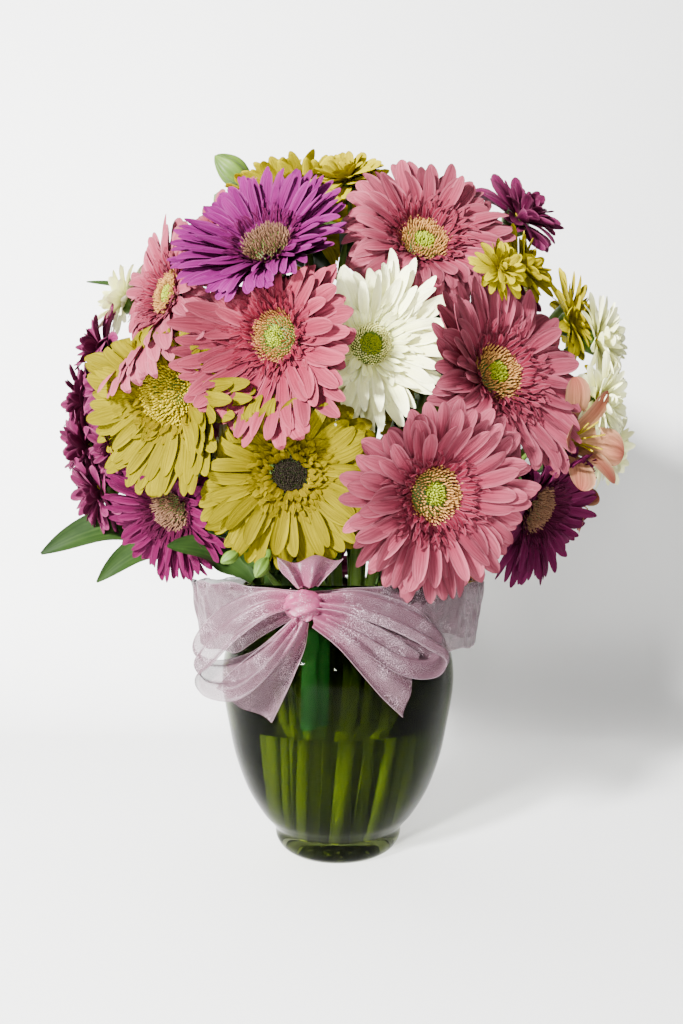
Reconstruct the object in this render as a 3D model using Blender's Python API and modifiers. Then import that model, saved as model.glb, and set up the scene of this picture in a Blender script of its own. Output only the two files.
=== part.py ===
"""A round bouquet of gerberas, spray chrysanthemums and alstroemerias in a footed glass vase.

Metres, +Z up, origin at the middle of the vase's foot. The front of the bouquet faces -Y.
The vase and its water are turned shapes, and the organza ribbon is bent strips. Every gerbera
is a flower head on its own stem. Every filler spray is one branched plant with several heads.
Heads that crowd each other are trimmed on a plane between them, as pressed petals are.
"""

import math

import bmesh
import bpy
from mathutils import Matrix, Vector

MM = 0.001
GAP = 0.3 * MM  # air between two pieces that touch

# Vase: outer profile as (height, radius) in mm, from the foot up to the lip
VASE_OUTSIDE = (
    (0, 33), (3, 37), (8, 40), (14, 41), (18, 44), (25, 50), (40, 59), (60, 66.5), (80, 71),
    (98, 74.4), (112, 75.4), (125, 73.8), (135, 69), (143, 64), (149, 62), (155, 66),
    (160, 75), (164, 85),
)
LIP = (167, 92.8)
WALL = 3.2 * MM
FLOOR, FLOOR_RADIUS = 11 * MM, 33 * MM
VASE_STEPS = 32
NECK_HEIGHT = 149 * MM
WATER_TOP = 81 * MM

# Stems: three rings of places in the neck, and the smaller, turned rings on the vase floor
OUTER, MIDDLE, INNER = 47, 31, 12.5
FOOT_SHARE, FOOT_TWIST = 0.6, 24
STEM_RADIUS, SPRAY_RADIUS, TWIG_RADIUS = 3.2 * MM, 2.4 * MM, 1.6 * MM
STEM_FOOT = FLOOR + 0.6 * MM
SOCKET = 4 * MM  # straight end of a stem under its head
BEND_STEPS = 6
MARGIN = 8 * MM  # heads nearer than this count as crowded

# Ribbon: a band round the lip, gathered to the knot at the front
BAND_TOP, BAND_FOOT = (171 * MM, 94.8 * MM), (131 * MM, 89 * MM)
BAND_STEPS = 48
PINCH_ANGLE, PINCH_WIDTH = 34, 15 * MM
KNOT_PLACE, KNOT_SIZE = (-18, -103.6, 160), (13 * MM, 9 * MM, 11 * MM)
CLOTH = 1.4 * MM  # thickness of a leaf or of the ribbon
LEAF_FOLD = 0.3

# Profiles of the heads: (radius at a petal, radius between petals, height), as shares of the
# head's radius. A gerbera's rim is raised by its own rise.
SHAPES = {
    "gerbera": (
        (0.14, 0.14, -0.36), (0.45, 0.42, -0.14), (1, 0.9, -0.025), (1, 0.9, 0.025),
        (0.36, 0.36, 0.04), (0.25, 0.25, 0.1),
    ),
    "mum": (
        (0.16, 0.16, -0.5), (0.7, 0.62, -0.2), (1, 0.84, 0), (1, 0.84, 0.1), (0.5, 0.46, 0.34),
    ),
    "floret": (
        (0.12, 0.12, -1.2), (0.34, 0.34, -0.6), (1, 0.7, -0.04), (1, 0.7, 0.06),
        (0.3, 0.3, -0.2),
    ),
    "bud": (
        (0.3, 0.3, -1.2), (0.8, 0.8, -0.7), (1, 0.95, 0), (0.7, 0.66, 0.7), (0.2, 0.2, 1.2),
    ),
}
SEGMENTS = {"gerbera": 18, "mum": 12, "floret": 12, "bud": 8}

# Gerberas: name, colour, disc centre (mm), facing azimuth and elevation (degrees; azimuth 0 is
# the front, 90 the right), diameter (mm), rise of the petal tips as a share of the radius,
# ring in the neck (mm) and its angle (degrees, from the front towards the right)
GERBERAS = (
    ("yellow_dark_eye", "yellow", (-26, -94, 231), -4, -16, 104, 0.18, OUTER, -20),
    ("pink_low_right", "pink", (53, -94, 220), 22, -10, 108, 0.18, OUTER, 20),
    ("magenta_low_right", "magenta", (122, -40, 216), 44, -24, 96, 0.16, OUTER, 60),
    ("magenta_low_left", "magenta", (-100, -50, 215), -30, -24, 88, 0.16, OUTER, -60),
    ("magenta_back_low", "magenta", (-60, 92, 232), -146, -16, 96, 0.16, OUTER, -140),
    ("pink_back_low", "pink", (42, 98, 226), 158, -16, 100, 0.16, OUTER, 160),
    ("pink_mid_left", "pink", (-35, -82, 311), -26, -8, 100, 0.18, MIDDLE, -18),
    ("white_mid", "white", (19, -72, 309), 10, -2, 96, 0.14, MIDDLE, 18),
    ("pink_right", "pink", (93, -70, 293), 26, 8, 110, 0.08, MIDDLE, 54),
    ("yellow_left", "yellow", (-98, -72, 280), -22, -20, 106, 0.2, MIDDLE, -54),
    ("pink_left", "pink", (-104, -50, 347), -46, 8, 92, 0.14, MIDDLE, -90),
    ("pink_back_left", "pink", (-98, 50, 300), -116, 4, 98, 0.16, MIDDLE, -126),
    ("white_back", "white", (-24, 88, 338), -168, 10, 96, 0.14, MIDDLE, -162),
    ("yellow_back_right", "yellow", (72, 86, 304), 144, 2, 102, 0.16, MIDDLE, 126),
    ("pink_top", "pink", (52, -60, 376), 10, 17, 104, 0.16, INNER, 40),
    ("magenta_top", "magenta", (-42, -64, 372), -16, 24, 100, 0.26, INNER, -32),
    ("pink_top_left", "pink", (-82, -18, 398), -50, 36, 92, 0.15, INNER, -104),
    ("yellow_crown", "yellow", (-24, 16, 424), -170, 62, 94, 0.15, 0, 0),
    ("pink_crown", "pink", (44, 34, 404), 146, 44, 98, 0.16, INNER, 112),
)

# Sprays: name, colour, ring and angle in the neck, fork (mm), heads and leaves. A head is its
# shape, centre (mm), azimuth, elevation and diameter (mm). A leaf is its foot, its tip (mm)
# and its width (mm).
SPRAYS = (
    ("mums_yellow_right", "yellow", OUTER, 100, (118, 8, 312), (
        ("mum", (118, -26, 372), 60, 20, 46), ("mum", (158, 4, 350), 86, 10, 48),
        ("mum", (184, 20, 306), 96, -4, 40)), ()),
    ("mums_white_right", "white", OUTER, 120, (132, 26, 262), (
        ("mum", (168, -22, 326), 62, 4, 44), ("mum", (166, -26, 286), 54, -8, 44),
        ("mum", (186, 26, 262), 100, -6, 40)), ()),
    ("alstroemeria_right", "cream", OUTER, 80, (104, 10, 222), (
        ("floret", (148, -44, 256), 40, -4, 44), ("floret", (160, 2, 226), 82, -10, 42)), (
        ((108, 12, 224), (176, 8, 250), 17),)),
    ("mums_purple_left", "magenta", OUTER, -100, (-112, 18, 246), (
        ("mum", (-158, -4, 324), -70, 14, 42), ("mum", (-170, 2, 290), -80, 4, 42),
        ("mum", (-166, -10, 258), -72, -6, 42), ("mum", (-152, -22, 228), -62, -16, 42)), ()),
    ("mums_white_left", "white", OUTER, -120, (-84, 14, 330), (
        ("mum", (-146, 8, 362), -76, 24, 40), ("mum", (-122, 66, 368), -116, 30, 42)), (
        ((-86, 14, 330), (-172, 2, 374), 15),)),
    ("alstroemeria_leaves_left", "leaf", OUTER, -80, (-86, 6, 200), (
        ("bud", (-112, 40, 196), -100, 10, 13),), (
        ((-84, 6, 198), (-190, -20, 188), 30), ((-84, 4, 196), (-152, -26, 172), 22))),
    ("alstroemeria_buds_front", "leaf", OUTER, -40, (-42, -68, 182), (
        ("bud", (-40, -100, 186), -6, 4, 13), ("bud", (-60, -92, 190), -30, 6, 12)), ()),
    ("mums_purple_back", "magenta", OUTER, -162, (-6, 84, 250), (
        ("mum", (-12, 128, 280), -176, 6, 44), ("mum", (-12, 112, 178), 178, -24, 40)), ()),
    ("alstroemeria_back", "cream", OUTER, 140, (70, 66, 216), (
        ("floret", (118, 84, 226), 126, -6, 46), ("floret", (98, 96, 186), 134, -28, 42)), (
        ((74, 68, 218), (148, 66, 212), 18),)),
    ("mums_purple_top", "magenta", MIDDLE, 90, (92, 14, 372), (
        ("mum", (126, 2, 420), 60, 40, 46), ("mum", (128, 50, 384), 112, 24, 44)), ()),
    ("mums_yellow_top", "yellow", MIDDLE, 162, (6, -12, 396), (
        ("mum", (6, -16, 438), 0, 74, 42),), ()),
    ("alstroemeria_top", "leaf", INNER, -176, (-62, 52, 414), (
        ("bud", (-74, 30, 466), -60, 66, 20), ("bud", (-84, 52, 452), -120, 50, 15)), ()),
)

# Bow: stations of (middle, half-width vector) in mm along each strip, from the knot out
STRIPS = {
    "ribbon_loop_left": (
        ((-31.2, -103.6, 162), (1, 2, 5)), ((-46, -103, 163), (2, 6, 12)),
        ((-64, -97, 155), (4, 10, 14)), ((-80, -84, 142), (6, 12, 14)),
        ((-87, -76, 130), (6, 12, 13)), ((-82, -86, 120), (4, 12, 14)),
        ((-66, -100, 125), (2, 10, 13)), ((-50, -107, 137), (1, 6, 10)),
        ((-34, -107, 150), (0, 3, 5)),
    ),
    "ribbon_loop_right": (
        ((-5, -103.6, 163), (-1, 2, 5)), ((10, -106, 161), (-2, 6, 12)),
        ((28, -105, 154), (-4, 9, 15)), ((44, -99, 144), (-5, 10, 15)),
        ((53, -93, 134), (-5, 10, 13)), ((47, -101, 124), (-4, 9, 12)),
        ((31, -108, 131), (-2, 7, 10)), ((14, -111, 142), (-1, 5, 8)),
        ((-2, -109, 152), (0, 3, 5)),
    ),
    "ribbon_loop_top": (
        ((-22, -103, 174), (5, 0, 1)), ((-20, -102, 180), (10, 0, 2)),
        ((-14, -105, 187), (12, 0, 3)), ((-8, -109, 184), (12, 0, 3)),
        ((-10, -110, 177), (9, 0, 2)), ((-14, -108, 171), (5, 0, 1)),
    ),
    "ribbon_tail_left": (
        ((-25, -106, 146), (5, 0, 3)), ((-34, -107, 136), (12, 0, 7)),
        ((-42, -106, 126), (16, 1, 9)), ((-50, -102, 114), (17, 2, 10)),
        ((-55, -97, 104), (17, 2, 10)),
    ),
    "ribbon_tail_right": (
        ((-10, -107, 146), (5, 0, -3)), ((1, -108, 138), (11, 0, -9)),
        ((13, -108, 129), (12, 0, -13)), ((27, -106, 121), (10, -1, -15)),
        ((38, -102, 115), (8, -2, -16)),
    ),
}

COLOURS = {
    "glass": (0.12, 0.22, 0.12), "water": (0.35, 0.45, 0.30), "ribbon": (0.80, 0.56, 0.64),
    "stem": (0.30, 0.42, 0.10), "leaf": (0.13, 0.24, 0.09), "pink": (0.84, 0.36, 0.44),
    "magenta": (0.52, 0.10, 0.40), "white": (0.90, 0.90, 0.80), "yellow": (0.93, 0.80, 0.02),
    "cream": (0.84, 0.70, 0.52),
}


def clear_scene():
    for obj in list(bpy.data.objects):
        bpy.data.objects.remove(obj, do_unlink=True)


def new_collection(name):
    collection = bpy.data.collections.new(name)
    bpy.context.scene.collection.children.link(collection)
    return collection


def material(name, colour):
    made = bpy.data.materials.new(name)
    made.use_nodes = True
    shader = made.node_tree.nodes["Principled BSDF"]
    shader.inputs["Base Color"].default_value = (*COLOURS[colour], 1)
    shader.inputs["Roughness"].default_value = 0.2 if colour in ("glass", "water") else 0.6
    return made


def piece(name, mesh, colour, collection):
    """A visible sub-part with its own material."""
    obj = bpy.data.objects.new(name, mesh)
    collection.objects.link(obj)
    obj.data.materials.append(material(name, colour))
    for face in mesh.polygons:
        face.use_smooth = True
    return obj


def cutter(name, mesh, collection):
    """A helper that only Boolean modifiers read."""
    obj = bpy.data.objects.new(name, mesh)
    collection.objects.link(obj)
    obj.hide_render = True
    obj.display_type = "WIRE"
    return obj


def boolean(obj, others, operation):
    modifier = obj.modifiers.new(operation.lower(), "BOOLEAN")
    modifier.operation = operation
    modifier.solver = "EXACT"
    modifier.operand_type = "COLLECTION"
    modifier.collection = others


def mm(point):
    return Vector(point) * MM


def facing(azimuth, elevation):
    """Unit vector; azimuth 0 looks to the front, -Y, and 90 to the right, +X."""
    a = math.radians(azimuth)
    e = math.radians(elevation)
    return Vector((math.sin(a) * math.cos(e), -math.cos(a) * math.cos(e), math.sin(e)))


def bezier(points, steps):
    """Points of a cubic Bezier, its first point left out."""
    a, b, c, d = points
    found = []
    for k in range(1, steps + 1):
        t = k / steps
        s = 1 - t
        found.append(a * s**3 + b * 3 * s * s * t + c * 3 * s * t * t + d * t**3)
    return found


# ---- tubes

def tube(name, points, radius, sides):
    """Closed round tube along the points, as a mesh."""
    curve = bpy.data.curves.new(name, "CURVE")
    curve.dimensions = "3D"
    curve.bevel_depth = radius
    curve.bevel_resolution = (sides - 4) // 2
    curve.use_fill_caps = True
    spline = curve.splines.new("POLY")
    spline.points.add(len(points) - 1)
    for spot, point in zip(spline.points, points):
        spot.co = (*point, 1)
    guide = bpy.data.objects.new(name, curve)
    mesh = bpy.data.meshes.new_from_object(guide)
    bpy.data.objects.remove(guide)
    bpy.data.curves.remove(curve)
    return welded(mesh)


def welded(mesh):
    """The mesh with its doubled points joined and its faces turned outwards."""
    bm = bmesh.new()
    bm.from_mesh(mesh)
    bmesh.ops.remove_doubles(bm, verts=bm.verts, dist=1e-6)
    bmesh.ops.recalc_face_normals(bm, faces=bm.faces)
    bm.to_mesh(mesh)
    bm.free()
    return mesh


def lower_path(ring, angle):
    """The straight run of a stem, from the vase floor to the neck."""
    a = math.radians(angle)
    b = math.radians(angle - FOOT_TWIST)
    radius = ring * MM
    foot = Vector((math.sin(b), -math.cos(b), 0)) * radius * FOOT_SHARE
    foot.z = STEM_FOOT
    neck = Vector((math.sin(a), -math.cos(a), 0)) * radius
    neck.z = NECK_HEIGHT
    return foot, neck


def stem_path(ring, angle, end, arrival):
    """Foot, neck, then a bend that arrives at its end straight along the given direction."""
    foot, neck = lower_path(ring, angle)
    socket = end - arrival * SOCKET
    reach = (socket - neck).length
    leave = (neck - foot).normalized()
    pull = arrival * min(0.34 * reach, 40 * MM)
    bend = (neck, neck + leave * reach * 0.42, socket - pull, socket)
    return [foot, neck, *bezier(bend, BEND_STEPS), end]


# ---- flower heads

def placed(place, azimuth, elevation):
    """Matrix that puts a head, modelled along +Z, at its place in the bouquet."""
    turn = facing(azimuth, elevation).to_track_quat("Z", "Y").to_matrix().to_4x4()
    return Matrix.Translation(mm(place)) @ turn


def head_mesh(name, shape, radius, rise=0):
    """Rings of points round the Z axis, lofted and closed by a cap at each end."""
    count = SEGMENTS[shape]
    bm = bmesh.new()
    rings = []
    for index, (tip, valley, height) in enumerate(SHAPES[shape]):
        lift = rise if index in (2, 3) else 0
        ring = []
        for k in range(count):
            share = valley if k % 2 else tip
            a = 2 * math.pi * k / count
            spot = Vector((math.cos(a) * share, math.sin(a) * share, height + lift))
            ring.append(bm.verts.new(spot * radius))
        rings.append(ring)
    for low, high in zip(rings, rings[1:]):
        for k in range(count):
            n = (k + 1) % count
            bm.faces.new((low[k], low[n], high[n], high[k]))
    bm.faces.new(rings[0][::-1])
    bm.faces.new(rings[-1])
    bmesh.ops.triangulate(bm, faces=bm.faces)
    mesh = bpy.data.meshes.new(name)
    bm.to_mesh(mesh)
    bm.free()
    return mesh


def trim(mesh, point, normal):
    """Takes away what lies beyond the plane and closes the cut."""
    bm = bmesh.new()
    bm.from_mesh(mesh)
    everything = bm.verts[:] + bm.edges[:] + bm.faces[:]
    bmesh.ops.bisect_plane(
        bm, geom=everything, dist=1e-6, plane_co=point, plane_no=normal, clear_outer=True
    )
    rim = [edge for edge in bm.edges if edge.is_boundary]
    if rim:
        bmesh.ops.triangle_fill(bm, edges=rim, use_beauty=True, normal=normal)
    bmesh.ops.remove_doubles(bm, verts=bm.verts, dist=1e-6)
    bmesh.ops.recalc_face_normals(bm, faces=bm.faces)
    bm.to_mesh(mesh)
    bm.free()


def trim_between(heads):
    """Cuts every crowded pair on a plane that shares their distance by their radii."""
    for one, (mesh, matrix, radius) in heads.items():
        inward = matrix.inverted()
        for other, (_, beyond, reach) in heads.items():
            way = beyond.translation - matrix.translation
            if other == one or way.length > radius + reach + MARGIN:
                continue
            share = way.length * radius / (radius + reach) - GAP / 2
            spot = matrix.translation + way.normalized() * share
            trim(mesh, inward @ spot, inward.to_3x3() @ way.normalized())


def all_heads():
    """Every flower head of the bouquet as name: (mesh, matrix, radius)."""
    heads = {}
    for name, _, place, azimuth, elevation, diameter, rise, _, _ in GERBERAS:
        radius = diameter / 2 * MM
        mesh = head_mesh(name, "gerbera", radius, rise)
        heads[name] = (mesh, placed(place, azimuth, elevation), radius)
    for spray in SPRAYS:
        for k, (shape, place, azimuth, elevation, diameter) in enumerate(spray[5]):
            name = f"{spray[0]}_{k}"
            radius = diameter / 2 * MM
            mesh = head_mesh(name, shape, radius)
            heads[name] = (mesh, placed(place, azimuth, elevation), radius)
    trim_between(heads)
    return heads


def add_gerberas(heads, collection):
    paths = []
    for name, colour, place, azimuth, elevation, diameter, _, ring, angle in GERBERAS:
        mesh, matrix, radius = heads[name]
        piece(f"gerbera_{name}", mesh, colour, collection).matrix_world = matrix
        normal = facing(azimuth, elevation)
        back = mm(place) - normal * (-SHAPES["gerbera"][0][2] * radius + GAP)
        path = stem_path(ring, angle, back, normal)
        piece(f"stem_{name}", tube(name, path, STEM_RADIUS, 6), "stem", collection)
        paths.append((path, STEM_RADIUS))
    return paths


# ---- sprays

def leaf_mesh(name, foot, tip, width):
    """Open blade of three points across that arches over and narrows to both ends."""
    start = mm(foot)
    run = mm(tip) - start
    side = run.cross(Vector((0, 0, 1))).normalized()
    over = side.cross(run).normalized()
    rows = []
    for t, wide in ((0, 0.12), (0.15, 0.55), (0.4, 1), (0.7, 0.8), (0.9, 0.35), (1, 0.08)):
        middle = start + run * t + over * run.length * 0.16 * math.sin(math.pi * t)
        half = side * width / 2 * MM * wide
        rows.append((middle - half, middle - over * LEAF_FOLD * half.length, middle + half))
    return sheet_mesh(name, rows)


def sheet_mesh(name, rows, closed=False):
    """Open surface through rows of points; closed joins its last row to its first."""
    bm = bmesh.new()
    grid = [[bm.verts.new(spot) for spot in row] for row in rows]
    if closed:
        grid.append(grid[0])
    for low, high in zip(grid, grid[1:]):
        for k in range(len(low) - 1):
            bm.faces.new((low[k], low[k + 1], high[k + 1], high[k]))
    mesh = bpy.data.meshes.new(name)
    bm.to_mesh(mesh)
    bm.free()
    return mesh


def thicken(obj):
    wall = obj.modifiers.new("wall", "SOLIDIFY")
    wall.thickness = CLOTH
    wall.offset = 0


def twig_path(fork, below, place, normal, depth):
    """From inside the main stem to inside the back of a head."""
    end = place - normal * depth * 0.85
    reach = (end - fork).length
    rising = (fork - below).normalized()
    bend = (fork, fork + rising * reach * 0.3, end - normal * reach * 0.35, end)
    return [fork - rising * 3 * MM, fork, *bezier(bend, 3)]


def add_spray(spray, heads, collection, cutters):
    name, colour, ring, angle, fork, blooms, leaves = spray
    fork = mm(fork)
    outward = Vector((fork.x, fork.y, 0)).normalized()
    arrival = (outward + Vector((0, 0, 1.2))).normalized()
    path = stem_path(ring, angle, fork, arrival)
    obj = piece(name, tube(name, path, SPRAY_RADIUS, 6), colour, collection)
    joined = bpy.data.collections.new(f"{name}_joined")
    cutters.children.link(joined)
    for k, (shape, place, azimuth, elevation, diameter) in enumerate(blooms):
        mesh, matrix, radius = heads[f"{name}_{k}"]
        depth = -SHAPES[shape][0][2] * radius
        twig = twig_path(fork, path[-2], mm(place), facing(azimuth, elevation), depth)
        cutter(f"{name}_twig_{k}", tube("twig", twig, TWIG_RADIUS, 6), joined)
        cutter(f"{name}_head_{k}", mesh, joined).matrix_world = matrix
    for k, (foot, tip, width) in enumerate(leaves):
        thicken(cutter(f"{name}_leaf_{k}", leaf_mesh("leaf", foot, tip, width), joined))
    boolean(obj, joined, "UNION")
    return path, SPRAY_RADIUS


# ---- vase and water

def turned(name, profile, colour, collection):
    """Solid of revolution. The profile is (height, radius) in metres, outer side going down."""
    mesh = bpy.data.meshes.new(name)
    mesh.from_pydata(
        [(radius, 0, height) for height, radius in profile],
        [(k, k + 1) for k in range(len(profile) - 1)],
        [],
    )
    obj = piece(name, mesh, colour, collection)
    screw = obj.modifiers.new("turn", "SCREW")
    screw.steps = VASE_STEPS
    screw.render_steps = VASE_STEPS
    screw.use_merge_vertices = True
    screw.merge_threshold = 0.00005
    return obj


def inside_profile(least, most):
    """The vase's inner wall between two heights, going up."""
    found = []
    for height, radius in VASE_OUTSIDE:
        spot = (height * MM, radius * MM - WALL)
        if least < spot[0] <= most:
            found.append(spot)
    return found


def add_vase(collection):
    low, high = LIP[0] * MM, LIP[1] * MM
    inner = [(FLOOR, 0), (FLOOR, FLOOR_RADIUS), *inside_profile(FLOOR + WALL, low)]
    lip = [(low + 1.5 * MM, high - 2.6 * MM), (low + 2.6 * MM, high - 0.8 * MM), (low, high)]
    outer = [(height * MM, radius * MM) for height, radius in reversed(VASE_OUTSIDE)]
    turned("vase", [*inner, *lip, *outer, (0, 0)], "glass", collection)


def radius_inside(height):
    """Inner radius of the vase at a height, by straight lines between the profile's points."""
    spots = [(FLOOR, FLOOR_RADIUS), *inside_profile(FLOOR + WALL, 1)]
    for (low, small), (high, large) in zip(spots, spots[1:]):
        if low <= height <= high:
            return small + (large - small) * (height - low) / (high - low)
    return spots[-1][1]


def add_water(paths, collection, cutters):
    base = FLOOR + GAP
    wall = [(base, FLOOR_RADIUS - GAP)]
    for height, radius in inside_profile(FLOOR + WALL, WATER_TOP - MM):
        wall.append((height, radius - 1.3 * GAP))
    top = (WATER_TOP, radius_inside(WATER_TOP) - 1.3 * GAP)
    profile = [(WATER_TOP, 0), top, *reversed(wall), (base, 0)]
    water = turned("water", profile, "water", collection)
    holes = bpy.data.collections.new("stem_holes")
    cutters.children.link(holes)
    for k, (path, radius) in enumerate(paths):
        foot, neck = path[:2]
        start = foot + (foot - neck).normalized() * 4 * MM
        cutter(f"stem_hole_{k}", tube("hole", [start, neck], radius + 2 * GAP, 8), holes)
    boolean(water, holes, "DIFFERENCE")


# ---- ribbon

def smooth_step(t):
    t = min(max(t, 0), 1)
    return t * t * (3 - 2 * t)


def band_edges(angle):
    """Top and foot of the band at an angle from the front, pinched towards the knot."""
    top = Vector((0, -BAND_TOP[1], BAND_TOP[0]))
    foot = Vector((0, -BAND_FOOT[1], BAND_FOOT[0]))
    off = abs((angle - math.degrees(math.atan2(KNOT_PLACE[0], -KNOT_PLACE[1])) + 180) % 360 - 180)
    open_share = smooth_step(off / PINCH_ANGLE)
    width = PINCH_WIDTH + ((top - foot).length - PINCH_WIDTH) * open_share
    middle = Vector((0, -(BAND_TOP[1] + 0.2 * MM), KNOT_PLACE[2] * MM))
    middle = middle.lerp((top + foot) / 2, open_share)
    half = (top - foot).normalized() * width / 2
    turn = Matrix.Rotation(math.radians(angle), 3, "Z")
    return turn @ (middle + half), turn @ (middle - half)


def add_band(collection):
    rows = [band_edges(360 * k / BAND_STEPS) for k in range(BAND_STEPS)]
    mesh = sheet_mesh("ribbon_band", rows, closed=True)
    thicken(piece("ribbon_band", mesh, "ribbon", collection))


def add_knot(collection):
    bm = bmesh.new()
    bmesh.ops.create_uvsphere(bm, u_segments=14, v_segments=9, radius=1)
    bmesh.ops.scale(bm, vec=KNOT_SIZE, verts=bm.verts)
    bmesh.ops.translate(bm, vec=mm(KNOT_PLACE), verts=bm.verts)
    mesh = bpy.data.meshes.new("ribbon_knot")
    bm.to_mesh(mesh)
    bm.free()
    piece("ribbon_knot", mesh, "ribbon", collection)


def add_strip(name, stations, collection):
    """Strip of cloth through stations of (middle, half-width vector) in mm."""
    rows = [(mm(middle) - mm(half), mm(middle) + mm(half)) for middle, half in stations]
    thicken(piece(name, sheet_mesh(name, rows), "ribbon", collection))


def main():
    clear_scene()
    bouquet = new_collection("gerberas_in_a_vase")
    cutters = new_collection("cutters")
    heads = all_heads()
    paths = add_gerberas(heads, bouquet)
    for spray in SPRAYS:
        paths.append(add_spray(spray, heads, bouquet, cutters))
    add_vase(bouquet)
    add_water(paths, bouquet, cutters)
    add_band(bouquet)
    add_knot(bouquet)
    for name, stations in STRIPS.items():
        add_strip(name, stations, bouquet)


main()
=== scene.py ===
# %% [markdown]
# # Gerberas in a green glass vase
#
# A round bouquet: nineteen gerberas, a few branched sprays of small chrysanthemums and
# alstroemerias, an urn of dark green glass half full of water, and a bow of sheer organza.
# The rigid model already says where each head, stem and strip of ribbon is. This lesson gives
# each of them its real surface: petals, stamens, veins, glass, water and cloth.
#
# Every shape is a formula worked out on a whole numpy array at once. Flowers repeat one small
# form hundreds of times with small differences, and arrays make that quick and tidy.

import bpy
import numpy as np
from mathutils import Matrix, Vector


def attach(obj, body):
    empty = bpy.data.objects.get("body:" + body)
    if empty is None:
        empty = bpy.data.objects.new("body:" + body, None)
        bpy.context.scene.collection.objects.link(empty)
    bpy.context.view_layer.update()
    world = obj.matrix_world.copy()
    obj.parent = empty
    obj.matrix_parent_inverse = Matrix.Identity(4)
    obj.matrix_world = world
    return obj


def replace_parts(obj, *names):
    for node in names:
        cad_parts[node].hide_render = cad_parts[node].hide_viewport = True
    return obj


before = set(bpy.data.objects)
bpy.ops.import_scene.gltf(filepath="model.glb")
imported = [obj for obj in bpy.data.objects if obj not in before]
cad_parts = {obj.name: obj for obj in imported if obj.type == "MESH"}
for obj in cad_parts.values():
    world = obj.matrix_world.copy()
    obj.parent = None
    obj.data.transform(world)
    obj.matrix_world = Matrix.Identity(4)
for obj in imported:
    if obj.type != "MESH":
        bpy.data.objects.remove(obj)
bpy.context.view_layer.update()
MM = 0.001
CREASE = np.radians(70)
rng = np.random.default_rng(21)

# %% [markdown]
# ## From arrays to meshes
#
# Blender's mesh holds flat lists: points, face corners and where each face starts. They can be
# typed in face by face with bmesh, which is slow for a million corners, or copied from arrays
# with foreach_set, which is what these helpers do. Each point may also carry a place on the
# petal (the UV map) and four numbers for the material to read (the attribute called tint).


# %% Mesh helpers
UP = np.array([0.0, 0.0, 1.0])


def unit(vectors):
    """Each vector divided by its own length."""
    return vectors / np.linalg.norm(vectors, axis=-1, keepdims=True)


def around(turn):
    """Level unit vectors at these angles: (cos, sin, 0)."""
    return np.stack([np.cos(turn), np.sin(turn), np.zeros_like(turn)], -1)


def new_piece(name, part, material):
    """A piece that rides with the vase. A part is its points, arrays of its face corners, and
    for each point its place on the surface (UV) and its four numbers (tint)."""
    points, faces, uv, tint = part
    mesh = bpy.data.meshes.new(name)
    corners = np.concatenate([face.ravel() for face in faces]).astype(np.int32)
    sizes = np.concatenate([np.full(len(face), face.shape[1]) for face in faces])
    starts = np.concatenate([[0], np.cumsum(sizes)[:-1]]).astype(np.int32)
    mesh.vertices.add(len(points))
    mesh.vertices.foreach_set("co", points.astype(np.float32).ravel())
    mesh.loops.add(len(corners))
    mesh.loops.foreach_set("vertex_index", corners)
    mesh.polygons.add(len(sizes))
    mesh.polygons.foreach_set("loop_start", starts)
    mesh.update(calc_edges=True)
    layer = mesh.uv_layers.new(name="UVMap")
    layer.data.foreach_set("uv", uv[corners].astype(np.float32).ravel())
    attribute = mesh.attributes.new("tint", "FLOAT_COLOR", "POINT")
    attribute.data.foreach_set("color", tint.astype(np.float32).ravel())
    mesh.set_sharp_from_angle(angle=CREASE)
    piece = bpy.data.objects.new(name, mesh)
    bpy.context.scene.collection.objects.link(piece)
    piece.data.materials.append(material)
    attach(piece, "root")
    return piece


def joined(parts):
    """Several parts as one, with the corner numbers shifted."""
    shift = np.cumsum([0] + [len(part[0]) for part in parts[:-1]])
    faces = [face + start for part, start in zip(parts, shift) for face in part[1]]
    points, uv, tint = (np.concatenate([part[k] for part in parts]) for k in (0, 2, 3))
    return points, faces, uv, tint


def grid_quads(grid):
    """The four corners of each cell of a grid of point numbers."""
    corners = [grid[:-1, :-1], grid[1:, :-1], grid[1:, 1:], grid[:-1, 1:]]
    return np.stack(corners, -1).reshape(-1, 4)


# %% [markdown]
# ## Blades: the one form behind petals, bracts and leaves
#
# A petal is a long thin blade with a rounded tip and two shallow grooves. A flat plane with a
# bend would show a paper edge, and a Solidify modifier would double the work for each of two
# thousand petals. Here a blade is a grid of points along a curved middle line, with a second
# grid just under it that shares its border, so each blade is a closed thin lens.


# %% Blades
def blade_faces(along, across):
    """Corners of a top grid, and of an under grid with the same border, for one blade."""
    top = np.arange((along + 1) * (across + 1)).reshape(along + 1, across + 1)
    under = top.copy()
    inner = (along - 1) * (across - 1)
    under[1:-1, 1:-1] = top.size + np.arange(inner).reshape(along - 1, across - 1)
    return np.concatenate([grid_quads(top), grid_quads(under)[:, ::-1]]), top.size + inner


def stations_along(count):
    """Shares of a petal's length, closer together towards the tip so that it rounds off."""
    return np.sin(np.linspace(0, np.pi / 2, count))


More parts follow.
